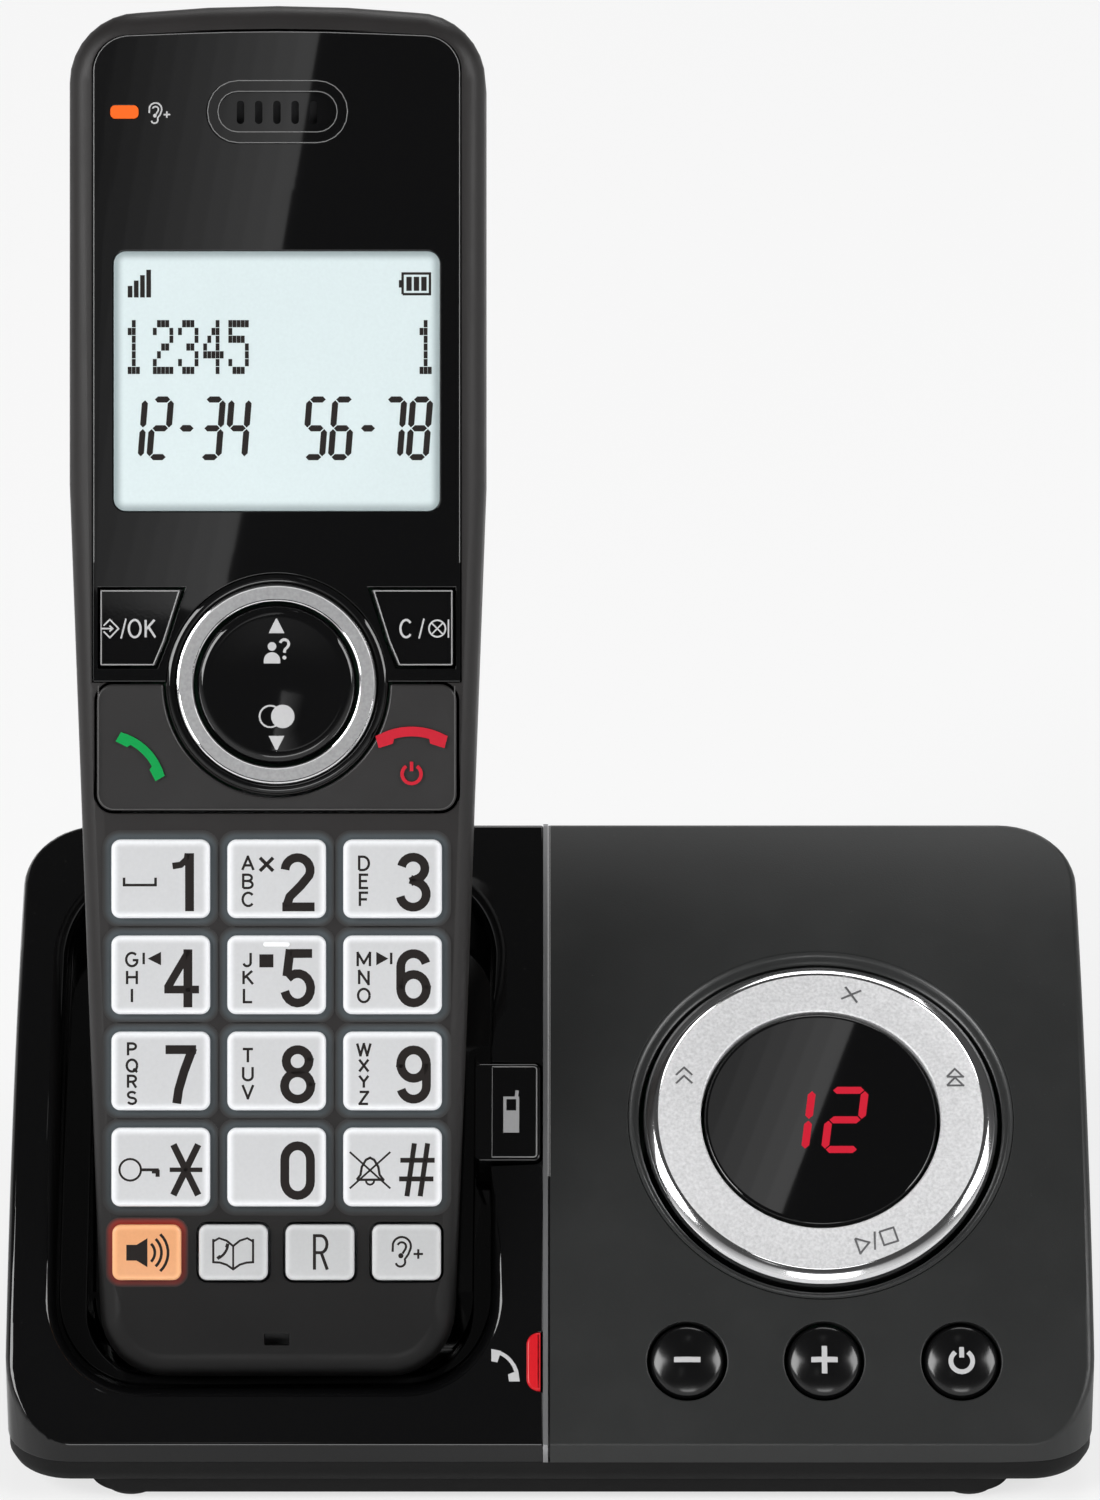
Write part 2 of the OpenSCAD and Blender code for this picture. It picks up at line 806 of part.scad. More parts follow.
module volume_down_key() color(black_gloss) round_key(-1);
module volume_up_key() color(black_gloss) round_key(0);
module power_key() color(black_gloss) round_key(1);

// ---------- handset: shells and face ----------

cell_r = 5.3;
battery_w = 24;
battery_low = 22;
battery_high = 76;
door_w = 34;
door_low = 14;
door_high = 84;
door_from = handset_t - 4.2;
call_w = 43.4;
collar_r = nav_ring_r + 1.1;
well_r = nav_ring_r + 0.25;
soft_top = 95.2;
soft_low = 86;

function number_x(column) = (column - 1) * number_pitch_x;
function number_y(row) = number_low + (3 - row) * number_pitch_y;
function function_x(i) = (i - 1.5) * function_pitch;

module call_outline(grow) {
    difference() {
        translate([0, panel_low - key_gap - call_h / 2])
            rounded_rect(call_w + 2 * grow, call_h + 2 * grow, 2 + grow);
        translate([0, nav_at]) circle(r = collar_r - grow + 0.4, $fn = round_fn);
    }
}

module soft_outline(side, grow) {
    intersection() {
        offset(delta = grow)
            polygon([
                [side * 21.3, soft_low], [side * 14.6, soft_low],
                [side * 13.4, soft_low + 3], [side * 11.4, soft_top], [side * 21.3, soft_top]
            ]);
        difference() {
            square([100, 400], center = true);
            translate([0, nav_at]) circle(r = collar_r - grow + 0.4, $fn = round_fn);
        }
    }
}

module panel_outline(grow) {
    top_y = handset_len - panel_top_gap;
    half = panel_w / 2 + grow;
    r = 4.4;
    crown = 0.6;
    crown_r = (pow(half - r, 2) + pow(crown, 2)) / (2 * crown);
    translate([-half, panel_low - grow]) square([2 * half, top_y - crown - r - panel_low + 2 * grow]);
    translate([-half + r, top_y - crown - r]) square([2 * half - 2 * r, r + grow]);
    for (side = [-1, 1])
        translate([side * (half - r), top_y - crown - r + grow]) circle(r = r, $fn = round_fn);
    intersection() {
        translate([0, top_y - crown_r + grow]) circle(r = crown_r, $fn = big_fn);
        translate([-half + r, top_y - 3]) square([2 * half - 2 * r, 4]);
    }
}

module window_outline(grow) {
    translate([0, window_at]) rounded_rect(window_w + 2 * grow, window_h + 2 * grow, 1.5);
}

module earpiece_outline(w, h) {
    translate([0, earpiece_at]) rounded_rect(w, h, h / 2 - 0.01);
}

module lamp_outline() {
    translate([-18.4, earpiece_at]) rounded_rect(3.4, 1.6, 0.6);
}

module number_outline(column, row, grow) {
    translate([number_x(column), number_y(row)])
        rounded_rect(number_w + 2 * grow, number_h + 2 * grow, 1.1 + grow);
}

module function_outline(i, grow) {
    translate([function_x(i), function_at])
        rounded_rect(function_w + 2 * grow, function_h + 2 * grow, 1 + grow);
}

module handset_front() color(charcoal) {
    handset_place()
        difference() {
            intersection() {
                handset_body(0);
                translate([-reach, -1, -1]) cube([2 * reach, shell_split + 1, handset_len + 2]);
            }
            intersection() {
                handset_body(shell_wall);
                translate([-reach, 0, -1]) cube([2 * reach, shell_split + 1, handset_len + 2]);
            }
            into_face(-1, panel_t) panel_outline(0.1);
            into_face(-1, 5) {
                window_outline(-0.6);
                earpiece_outline(13, 4);
                call_outline(key_gap);
                for (side = [-1, 1]) soft_outline(side, key_gap);
                for (column = [0:2], row = [0:3]) number_outline(column, row, key_gap);
                for (i = [0:3]) function_outline(i, key_gap);
                lamp_outline();
            }
            translate([0, 0, nav_at]) rotate([90, 0, 0]) cylinder(r = nav_r + 0.5, h = 12, center = true, $fn = round_fn);
            translate([0, panel_t, nav_at]) rotate([90, 0, 0]) cylinder(r = well_r, h = 4, $fn = round_fn);
            translate([-1.5, -1, 4]) cube([3, 5, 1.3]);
        }
}

module handset_back() color("#2e2c2b") {
    handset_place()
        difference() {
            intersection() {
                handset_body(0);
                translate([-reach, shell_split, -1]) cube([2 * reach, handset_t, handset_len + 2]);
            }
            difference() {
                intersection() {
                    handset_body(shell_wall);
                    translate([-reach, shell_split - 1, -1]) cube([2 * reach, handset_t, handset_len + 2]);
                }
                translate([-door_w / 2 - 1.4, shell_split + 3, door_low - 1.4])
                    cube([door_w + 2.8, handset_t, door_high - door_low + 2.8]);
            }
            translate([-battery_w / 2 - 1, handset_t - 2.2 - 2 * cell_r, battery_low - 1])
                cube([battery_w + 2, handset_t, battery_high - battery_low + 2]);
            translate([-door_w / 2 - 0.3, door_from, door_low - 0.3])
                cube([door_w + 0.6, handset_t, door_high - door_low + 0.6]);
            for (side = [-1, 1])
                translate([side * contact_x - contact_w / 2, contact_from + 0.2, -1])
                    cube([contact_w, 4, shell_wall + 2]);
        }
}

module battery_door() color("#2e2c2b") {
    handset_place()
        intersection() {
            handset_body(0);
            difference() {
                translate([-door_w / 2, door_from + 0.2, door_low]) cube([door_w, handset_t, door_high - door_low]);
                translate([-battery_w / 2, door_from, battery_low + 2])
                    cube([battery_w, handset_t - door_from - 1.6, battery_high - battery_low - 4]);
            }
        }
}

module battery_pack() color("#3f6b4a") {
    handset_place()
        for (side = [-1, 1])
            translate([side * 5.6, handset_t - 2 - cell_r, battery_low + 4])
                cylinder(r = cell_r, h = 44.5, $fn = round_fn);
}

module face_panel() color(black_gloss) {
    handset_place()
        difference() {
            into_face(0, panel_t) panel_outline(0);
            into_face(-1, panel_t + 1) {
                window_outline(0);
                earpiece_outline(earpiece_w, earpiece_h);
                lamp_outline();
                for (side = [-1, 1]) soft_outline(side, key_gap);
            }
            translate([0, 0, nav_at]) rotate([90, 0, 0]) cylinder(r = collar_r + 0.1, h = 12, center = true, $fn = round_fn);
        }
}

module display_window() color("#dfeef0") {
    handset_place() into_face(0.1, panel_t) window_outline(0);
}

module display_module() color("#b9c8c4") {
    handset_place()
        translate([-window_w / 2 + 1, shell_wall + 0.05, window_at - window_h / 2 + 1])
            cube([window_w - 2, 2.4, window_h - 2]);
}

module earpiece_cover() color(black_gloss) {
    handset_place()
        difference() {
            into_face(0.05, panel_t) earpiece_outline(earpiece_w, earpiece_h);
            into_face(-1, 0.5) earpiece_outline(earpiece_w - 2.5, earpiece_h - 2.6);
            for (i = [-2:2])
                into_face(-1, 3) translate([i * 2.2, earpiece_at]) rounded_rect(0.9, 2.8, 0.44);
        }
}

module earpiece_speaker() color("#4a4a4c") {
    handset_place()
        translate([0, 2, earpiece_at - 3])
            rotate([-90, 0, 0])
                rotate_extrude($fn = round_fn)
                    polygon([[0, 0.6], [4, 0.9], [7, 0.2], [7, 0], [8, 0], [8, 2.2], [5, 3.6], [0, 3.6]]);
}

module handset_lamp() color("#f26a21") {
    handset_place() into_face(-0.1, 2.6) lamp_outline();
}

module handset_board() color(board_green) {
    handset_place()
        translate([-18, board_depth, 5]) cube([36, handset_board_t, handset_len - 31]);
}

module keypad_mat() color("#8d9093") {
    handset_place()
        into_face(mat_depth, mat_depth + mat_t)
            translate([0, (mat_low + mat_high) / 2]) rounded_rect(2 * number_pitch_x + 10, mat_high - mat_low, 3);
}

// ---------- handset: keys ----------

module nav_ring() color(silver) {
    handset_place()
        translate([0, panel_t, nav_at])
            rotate([90, 0, 0])
                rotate_extrude($fn = 96)
                    polygon([
                        [nav_r + 0.45, 0], [nav_ring_r, 0], [nav_ring_r, panel_t + 0.45],
                        [nav_ring_r - 0.5, panel_t + 0.9], [nav_r + 0.9, panel_t + 0.9],
                        [nav_r + 0.45, panel_t + 0.6]
                    ]);
}

module nav_key() color(black_gloss) {
    handset_place()
        translate([0, key_root, nav_at])
            rotate([90, 0, 0])
                rotate_extrude($fn = 96)
                    polygon([
                        [0, 0], [nav_r, 0], [nav_r, key_root + 0.5], [nav_r - 0.5, key_root + 0.9],
                        [nav_r - 1.6, key_root + 0.95], [0, key_root + 0.6]
                    ]);
}

module key_prism(out) {
    into_face(-out + 0.35, key_root) children();
    into_face(-out, 0) offset(delta = -0.35) children();
}

module ok_key() color(black_gloss) {
    handset_place() into_face(-0.5, key_root) soft_outline(-1, 0);
}

module cancel_key() color(black_gloss) {
    handset_place() into_face(-0.5, key_root) soft_outline(1, 0);
}

module call_plate() color(charcoal) {
    handset_place() into_face(-0.6, key_root) call_outline(0);
}

module number_key(column, row) color(key_white) {
    handset_place() key_prism(key_out) number_outline(column, row, 0);
}

module function_key(i) {
    handset_place() key_prism(key_out) function_outline(i, 0);
}

module key_1() number_key(0, 0);
module key_2() number_key(1, 0);
module key_3() number_key(2, 0);
module key_4() number_key(0, 1);
module key_5() number_key(1, 1);
module key_6() number_key(2, 1);
module key_7() number_key(0, 2);
module key_8() number_key(1, 2);
module key_9() number_key(2, 2);
module key_star() number_key(0, 3);
module key_0() number_key(1, 3);
module key_hash() number_key(2, 3);
module speaker_key() color("#f4b183") function_key(0);
module book_key() color("#c3c5c8") function_key(1);
module recall_key() color("#c3c5c8") function_key(2);
module boost_key() color("#c3c5c8") function_key(3);

// ---------- handset: inside ----------

module microphone() color("#6a6a6c") {
    handset_place()
        translate([0, board_depth - 2, 5.2]) rotate([-90, 0, 0]) cylinder(r = 1.8, h = 2, $fn = round_fn);
}

module charge_plates() color("#c9b47a") {
    handset_place()
        for (side = [-1, 1])
            translate([side * contact_x - contact_w / 2, contact_from + 0.2, 0.1])
                cube([contact_w, 4, 0.5]);
}

cradle_cover();
control_cover();
seam_trim();
lower_housing();
rubber_feet();
housing_screws();
main_board();
key_board();
key_switches();
base_speaker();
line_socket();
power_socket();
charge_springs();
display_lens();
counter_display();
message_lamp();
find_key();
ring_carrier();
control_ring();
volume_down_key();
volume_up_key();
power_key();
handset_front();
handset_back();
face_panel();
display_window();
display_module();
earpiece_cover();
earpiece_speaker();
handset_lamp();
handset_board();
keypad_mat();
nav_ring();
nav_key();
ok_key();
cancel_key();
call_plate();
key_1();
key_2();
key_3();
key_4();
key_5();
key_6();
key_7();
key_8();
key_9();
key_star();
key_0();
key_hash();
speaker_key();
book_key();
recall_key();
boost_key();
microphone();
battery_pack();
battery_door();
charge_plates();
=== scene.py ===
# Answering machine with a cordless handset standing in its cradle.
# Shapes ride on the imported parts. Drawings are in millimetres on a flat sheet, which is then laid on its part.
import bpy
import bmesh
import json
from math import cos, hypot, pi, radians, sin, sqrt, tau
from mathutils import Matrix, Vector

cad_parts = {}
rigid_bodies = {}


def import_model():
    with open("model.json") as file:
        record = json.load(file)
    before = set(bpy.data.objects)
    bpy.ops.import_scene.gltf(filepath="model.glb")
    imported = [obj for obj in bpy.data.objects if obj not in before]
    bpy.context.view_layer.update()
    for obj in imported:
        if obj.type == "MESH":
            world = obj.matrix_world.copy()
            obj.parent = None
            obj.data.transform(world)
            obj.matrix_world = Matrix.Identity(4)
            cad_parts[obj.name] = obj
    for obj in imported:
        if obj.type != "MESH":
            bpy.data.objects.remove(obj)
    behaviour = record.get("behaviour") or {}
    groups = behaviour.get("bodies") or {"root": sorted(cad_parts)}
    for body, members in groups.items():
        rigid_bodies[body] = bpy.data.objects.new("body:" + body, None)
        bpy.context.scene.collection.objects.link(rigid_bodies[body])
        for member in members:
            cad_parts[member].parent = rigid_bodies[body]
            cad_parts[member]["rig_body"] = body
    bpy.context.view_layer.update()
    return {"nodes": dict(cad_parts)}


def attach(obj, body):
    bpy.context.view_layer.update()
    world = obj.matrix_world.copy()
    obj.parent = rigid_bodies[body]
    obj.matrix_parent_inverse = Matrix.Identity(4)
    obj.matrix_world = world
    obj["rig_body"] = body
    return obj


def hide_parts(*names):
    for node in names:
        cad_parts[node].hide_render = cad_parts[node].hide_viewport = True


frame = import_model()
nodes = frame["nodes"]
mm = 0.001
ops = bmesh.ops
print("frame loaded:", len(nodes), "parts")

layout = {
    "depth": 97.2038, "arcY": 117.102, "arcZ": -85.24, "arcR": 150,
    "handset": (-33, 4.1, 15.4), "lean": 26,
    "ringX": 33.2, "ringSlope": 35.4, "roundKeySlope": 47.4, "roundKeyPitch": 16.6, "findSlope": 35.2,
}
basePlace = Matrix.Translation((0, -layout["depth"] / 2 * mm, 0))
handsetLean = Matrix.Rotation(radians(-layout["lean"]), 4, "X")
handsetPlace = basePlace @ Matrix.Translation(Vector(layout["handset"]) * mm) @ handsetLean
sheetTurn = Matrix.Rotation(radians(90), 4, "X")
topAxis = Vector((0, layout["arcY"] - layout["depth"] / 2, layout["arcZ"])) * mm


def lifted(place, x, y, out=0):
    return place @ Matrix.Translation((x * mm, y * mm, out * mm))


def faceSheet(out=0):  # a sheet on the handset's face: x across, y up the handset, z out of it
    return lifted(handsetPlace @ sheetTurn, 0, 0, out)


def topSheet(x, slope, out=0):  # a sheet on the curved top of the base
    s = radians(slope)
    r = layout["arcR"]
    spot = Vector((x, layout["arcY"] - r * sin(s), layout["arcZ"] + r * cos(s))) * mm
    return lifted(basePlace @ Matrix.Translation(spot) @ Matrix.Rotation(s, 4, "X"), 0, 0, out)


def ringSheet(out=0):
    return topSheet(layout["ringX"], layout["ringSlope"], out)


def fromTopAxis(spot):  # from the axis of the curved top straight out to a point
    away = spot - topAxis
    away.x = 0
    return away


def bodyOf(node):
    return nodes[node]["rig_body"]


def titled(prefix, node):
    return prefix + node.title().replace("_", "")


def newObject(name, data):
    obj = bpy.data.objects.new(name, data)
    bpy.context.scene.collection.objects.link(obj)
    return obj


def newGroup(name, inputs):
    group = bpy.data.node_groups.new(name, "ShaderNodeTree")
    for label, value in inputs.items():
        kind = "NodeSocketColor" if isinstance(value, tuple) else "NodeSocketFloat"
        socket = group.interface.new_socket(name=label, in_out="INPUT", socket_type=kind)
        socket.default_value = value
    return group, group.nodes.new("NodeGroupInput"), group.nodes.new("NodeGroupOutput")


def addOutput(group, end, label, value, kind="NodeSocketFloat"):
    group.interface.new_socket(name=label, in_out="OUTPUT", socket_type=kind)
    group.links.new(value, end.inputs[label])


def addNode(tree, kind, **settings):
    node = tree.nodes.new(kind)
    for key, value in settings.items():
        setattr(node, key, value)
    return node


def mathNode(tree, operation, a, b=None, clamp=False):
    node = addNode(tree, "ShaderNodeMath", operation=operation, use_clamp=clamp)
    for i, value in enumerate((a, b)):
        if value is None:
            continue
        if isinstance(value, (int, float)):
            node.inputs[i].default_value = value
        else:
            tree.links.new(value, node.inputs[i])
    return node.outputs[0]


def mixColor(tree, factor, a, b):
    node = addNode(tree, "ShaderNodeMix", data_type="RGBA")
    for socket, value in ((node.inputs[0], factor), (node.inputs[6], a), (node.inputs[7], b)):
        if hasattr(value, "is_output"):
            tree.links.new(value, socket)
        else:
            socket.default_value = value
    return node.outputs[2]


def mapRange(tree, value, limits, kind="SMOOTHSTEP"):  # limits: from low, from high, to low, to high
    node = addNode(tree, "ShaderNodeMapRange", interpolation_type=kind)
    tree.links.new(value, node.inputs["Value"])
    for socket, limit in zip(("From Min", "From Max", "To Min", "To Max"), limits):
        node.inputs[socket].default_value = limit
    return node.outputs[0]


def scaledColor(tree, color, factor):
    node = addNode(tree, "ShaderNodeVectorMath", operation="SCALE")
    if isinstance(color, tuple):
        node.inputs[0].default_value = color
    else:
        tree.links.new(color, node.inputs[0])
    tree.links.new(factor, node.inputs["Scale"])
    return node.outputs[0]


# Each socket with the key that a look gives it by, and its usual value
mouldSockets = {
    "Drift": ("drift", 0.1), "Roughness": ("roughness", 0.4), "Smudge": ("smudge", 0.1),
    "Grain Scale": ("grain", 2500), "Dust": ("dust", 0), "Sparkle": ("sparkle", 0.08),
}
shaderSockets = {
    "Metallic": ("metallic", 0), "Specular IOR Level": ("specular", 0.5),
    "Coat Weight": ("coat", 0), "Coat Roughness": ("coatRoughness", 0.08),
}
bumpSockets = {"Strength": ("bump", 0.15), "Distance": ("relief", 0.00003)}
mould = {  # each noise has its scale per metre, detail and roughness
    "slow": (38, 3, 0.5), "smear": (120, 5, 0.65), "specks": (1900, 4, 0.8), "sparkle": (2600, 1, 0.5),
    "grainDetail": 2, "driftGain": 2, "smearFrom": 0.42,
    "dustRise": (0.35, 1.5), "fleck": (0.66, 9), "dustColor": (0.42, 0.41, 0.39, 1), "dustRough": 0.4,
}


def setLook(node, sockets, look):
    for socket, (key, usual) in sockets.items():
        node.inputs[socket].default_value = look.get(key, usual)


# Moulded surface: slow colour drift, hand smudges in the gloss, and fine grain
def makeMouldedGroup():
    usual = {label: value for label, (key, value) in mouldSockets.items()}
    group, start, end = newGroup("mouldedSurface", {"Color": (0.5, 0.5, 0.5, 1), **usual})
    given = start.outputs
    spot = addNode(group, "ShaderNodeTexCoord").outputs["Object"]

    def noise(scale, detail, rough=0.5):
        node = addNode(group, "ShaderNodeTexNoise")
        group.links.new(spot, node.inputs["Vector"])
        if isinstance(scale, (int, float)):
            node.inputs["Scale"].default_value = scale
        else:
            group.links.new(scale, node.inputs["Scale"])
        node.inputs["Detail"].default_value = detail
        node.inputs["Roughness"].default_value = rough
        return node.outputs["Fac"]

    def calc(operation, a, b, clamp=False):
        return mathNode(group, operation, a, b, clamp)

    def above(value, level, gain):
        return calc("MULTIPLY", calc("SUBTRACT", value, level), gain, clamp=True)

    drift = calc("MULTIPLY", calc("SUBTRACT", noise(*mould["slow"]), 0.5), given["Drift"])
    sparkle = calc("MULTIPLY", calc("SUBTRACT", noise(*mould["sparkle"]), 0.5), given["Sparkle"])
    bright = calc("ADD", calc("ADD", 1, sparkle), calc("MULTIPLY", drift, mould["driftGain"]))
    shaded = scaledColor(group, given["Color"], bright)
    upward = addNode(group, "ShaderNodeSeparateXYZ")
    group.links.new(addNode(group, "ShaderNodeNewGeometry").outputs["Normal"], upward.inputs[0])
    rise = above(upward.outputs["Z"], *mould["dustRise"])
    fleck = above(noise(*mould["specks"]), *mould["fleck"])
    dust = calc("MULTIPLY", calc("MULTIPLY", rise, fleck), given["Dust"], clamp=True)
    swing = calc("MULTIPLY", calc("SUBTRACT", noise(*mould["smear"]), mould["smearFrom"]), given["Smudge"])
    rough = calc("ADD", given["Roughness"], calc("MAXIMUM", swing, 0))
    gloss = calc("ADD", rough, calc("MULTIPLY", dust, mould["dustRough"]), clamp=True)
    addOutput(group, end, "Color", mixColor(group, dust, shaded, mould["dustColor"]), "NodeSocketColor")
    addOutput(group, end, "Roughness", gloss)
    addOutput(group, end, "Height", noise(given["Grain Scale"], mould["grainDetail"]))
    return group


# Distance in from the rounded edge of a plate, read from its own sheet (UV in millimetres from its middle)
def makeEdgeGroup():
    group, start, end = newGroup("distanceFromEdge", {"Half Width": 5, "Half Height": 4, "Corner": 1})
    corner = start.outputs["Corner"]
    split = addNode(group, "ShaderNodeSeparateXYZ")
    group.links.new(addNode(group, "ShaderNodeUVMap", uv_map="sheet").outputs[0], split.inputs[0])

    def calc(operation, a, b=None):
        return mathNode(group, operation, a, b)

    def over(axis, half):
        inner = calc("SUBTRACT", start.outputs[half], corner)
        return calc("SUBTRACT", calc("ABSOLUTE", split.outputs[axis]), inner)

    x, y = over("X", "Half Width"), over("Y", "Half Height")
    outX, outY = calc("MAXIMUM", x, 0), calc("MAXIMUM", y, 0)
    far = calc("SQRT", calc("ADD", calc("MULTIPLY", outX, outX), calc("MULTIPLY", outY, outY)))
    near = calc("MINIMUM", calc("MAXIMUM", x, y), 0)
    addOutput(group, end, "Distance", calc("SUBTRACT", corner, calc("ADD", far, near)))
    return group


mouldedSurface = makeMouldedGroup()
distanceFromEdge = makeEdgeGroup()


def newMaterial(name):
    mat = bpy.data.materials.new(name)
    mat.use_nodes = True
    return mat, mat.node_tree, mat.node_tree.nodes["Principled BSDF"]


def addMoulding(tree, shader, look, color=None):
    part = addNode(tree, "ShaderNodeGroup", node_tree=mouldedSurface)
    part.inputs["Color"].default_value = (*look["color"], 1)
    setLook(part, mouldSockets, look)
    if "fade" in look:  # painted shade: darker towards the lower end, between two heights in metres
        split = addNode(tree, "ShaderNodeSeparateXYZ")
        tree.links.new(addNode(tree, "ShaderNodeTexCoord").outputs["Object"], split.inputs[0])
        rise = mapRange(tree, split.outputs["Z"], look["fade"])
        color = scaledColor(tree, look["color"] if color is None else color, rise)
    if color is not None:
        tree.links.new(color, part.inputs["Color"])
    bump = addNode(tree, "ShaderNodeBump")
    setLook(bump, bumpSockets, look)
    tree.links.new(part.outputs["Color"], shader.inputs["Base Color"])
    tree.links.new(part.outputs["Roughness"], shader.inputs["Roughness"])
    tree.links.new(part.outputs["Height"], bump.inputs["Height"])
    tree.links.new(bump.outputs["Normal"], shader.inputs["Normal"])


def mouldedMaterial(name, look):
    mat, tree, shader = newMaterial(name)
    addMoulding(tree, shader, look)
    setLook(shader, shaderSockets, look)
    if look.get("glow"):
        shader.inputs["Emission Color"].default_value = (*look.get("glowColor", look["color"]), 1)
        shader.inputs["Emission Strength"].default_value = look["glow"]
    return mat


def look(color, roughness, smudge=0.1, bump=0.15, **more):
    return {"color": color, "roughness": roughness, "smudge": smudge, "bump": bump, **more}


# Linear colours, roughness, smudge and bump, then whatever else differs from the usual
looks = {
    "blackGloss": look((0.0028, 0.0028, 0.003), 0.035, 0.08, 0.02, dust=0.12),
    "blackLens": look((0.0022, 0.0022, 0.0024), 0.015, 0.02, 0, dust=0.05, drift=0.05),
    "satinCover": look((0.0205, 0.0213, 0.0211), 0.36, 0.22, 0.35, specular=0.38, grain=5200, dust=0.12, drift=0.12),
    "housingBlack": look((0.0045, 0.0045, 0.0045), 0.5, 0.2, 0.6, grain=2600, dust=0.04, specular=0.2),
    # fade on the handset looks is painted shade: darker towards the handset's lower end, where it sits in the cradle
    "handsetFace": look((0.0205, 0.0190, 0.0188), 0.42, 0.22, 0.3, fade=(0.017, 0.052, 0.1, 1), specular=0.28,
                        grain=5200, dust=0.08),
    # the face's charcoal painted lighter and warmer for the rear shell and sides: painted light, the same plastic
    # seen under brighter light
    "handsetRearLitCopy": look((0.034, 0.0305, 0.0285), 0.4, 0.25, 0.35, fade=(0.017, 0.052, 0.2, 1), specular=0.38,
                        grain=4800, dust=0.06, drift=0.12),
    "ringSilver": look((0.82, 0.82, 0.83), 0.4, grain=6500, bump=0.75, metallic=0.35, drift=0.05, sparkle=0.55),
    "navSilver": look((0.34, 0.34, 0.345), 0.45, grain=6500, bump=0.6, metallic=0.3, drift=0.05, sparkle=0.45),
    "trimSilver": look((0.22, 0.22, 0.225), 0.38, 0.12, 0.08, metallic=0.6),
    "domeGloss": look((0.0034, 0.0034, 0.0036), 0.17, 0.06, 0, dust=0.08),
    "nibWhite": look((0.86, 0.87, 0.88), 0.35, bump=0.05, glow=0.12),
    "panelGloss": look((0.0026, 0.0026, 0.0028), 0.014, 0.02, 0, dust=0.06, drift=0.08),
    "brightEdge": look((0.80, 0.80, 0.81), 0.10, bump=0.03, metallic=1, drift=0.04),
    "lampOrange": look((0.78, 0.115, 0.010), 0.3, glow=0.16, glowColor=(0.95, 0.14, 0.01)),
    "lampRed": look((0.54, 0.010, 0.016), 0.25, glow=0.1, glowColor=(0.8, 0.02, 0.03), specular=0.3),
    "displayBack": look((0.55, 0.64, 0.64), 0.5),
    "figureInk": look((0.020, 0.017, 0.016), 0.6, bump=0.05, specular=0.1),
    "callGrey": look((0.0205, 0.0195, 0.0195), 0.36, 0.2, 0.25, grain=5200, dust=0.05),
    "keyInk": look((0.018, 0.015, 0.014), 0.6, bump=0.1, specular=0.1),
    "paleInk": look((0.50, 0.50, 0.505), 0.45, bump=0.1),
    # painted highlights: grey lines drawn where edges catch light
    "paintedOutlineHighlight": look((0.19, 0.19, 0.19), 0.4, bump=0.1),
    "paintedDimHighlight": look((0.085, 0.083, 0.082), 0.4, bump=0.1),
    "paintedEdgeHighlight": look((0.30, 0.30, 0.30), 0.35, bump=0.1),
    "recessSatin": look((0.030, 0.031, 0.031), 0.3, 0.15, 0.2, grain=5200, dust=0.1),
    "greenInk": look((0, 0.29, 0.06), 0.55, bump=0.1, specular=0.2),
    "redInk": look((0.50, 0.012, 0.028), 0.55, bump=0.1, specular=0.2),
    "redFigure": look((0.34, 0.003, 0.014), 0.4, glow=0.30, glowColor=(0.9, 0.010, 0.045)),
    "engraved": look((0.13, 0.13, 0.135), 0.45, metallic=0.3),
    "footRubber": look((0.016, 0.016, 0.016), 0.7, 0.15, 0.6, grain=3000, dust=0.2),
    "matRubber": look((0.27, 0.28, 0.29), 0.6, grain=2000, bump=0.3),
    "boardGreen": look((0.012, 0.10, 0.045), 0.35, 0.2, coat=0.3, drift=0.3),
    "screwSteel": look((0.52, 0.52, 0.53), 0.28, 0.2, 0.2, metallic=1),
    "springMetal": look((0.70, 0.56, 0.30), 0.25, 0.2, metallic=1),
    "partBlack": look((0.016, 0.016, 0.017), 0.45, 0.15, 0.4, grain=2200),
    "paperCone": look((0.045, 0.045, 0.047), 0.75, grain=1500, bump=0.7),
    "cellWrap": look((0.03, 0.16, 0.07), 0.25, 0.2, drift=0.2),
}
mats = {name: mouldedMaterial(name, look) for name, look in looks.items()}

keyTones = {  # middle and rim tone (a key's rim painted lighter as painted backlight, the display pane's rim painted darker as painted shade), how bright the rim is lit, and in mm its reach, half sizes and corner
    "keyWhite": dict(middle=(0.575, 0.58, 0.59), rim=(0.80, 0.81, 0.83), glow=0.07, reach=1.15, half=(5.95, 4.75),
                     corner=1.1),
    "keyGrey": dict(middle=(0.50, 0.505, 0.51), rim=(0.62, 0.625, 0.63), glow=0, reach=0.9, half=(4.15, 3.35),
                    corner=1),
    "displayPane": dict(middle=(0.60, 0.685, 0.695), rim=(0.30, 0.36, 0.37), glow=0.10, reach=1.5,
                        half=(19.75, 15.75), corner=1.5, glowMiddle=True),
    "keyOrange": dict(middle=(0.76, 0.36, 0.17), rim=(0.90, 0.45, 0.22), glow=0.06, reach=0.9, half=(4.15, 3.35),
                      corner=1),
}
keyPlastic = dict(roughness=0.3, smudge=0.12, grain=4200, bump=0.12, drift=0.03)
# the display pane glows less towards its rim: painted shade
rimFrom, paneRimShade = 0.05, (0.1, 0.12, 0.12, 1)


def edgeDistance(tree, half, corner):
    edge = addNode(tree, "ShaderNodeGroup", node_tree=distanceFromEdge)
    for socket, value in (("Half Width", half[0]), ("Half Height", half[1]), ("Corner", corner)):
        edge.inputs[socket].default_value = value
    return edge.outputs["Distance"]


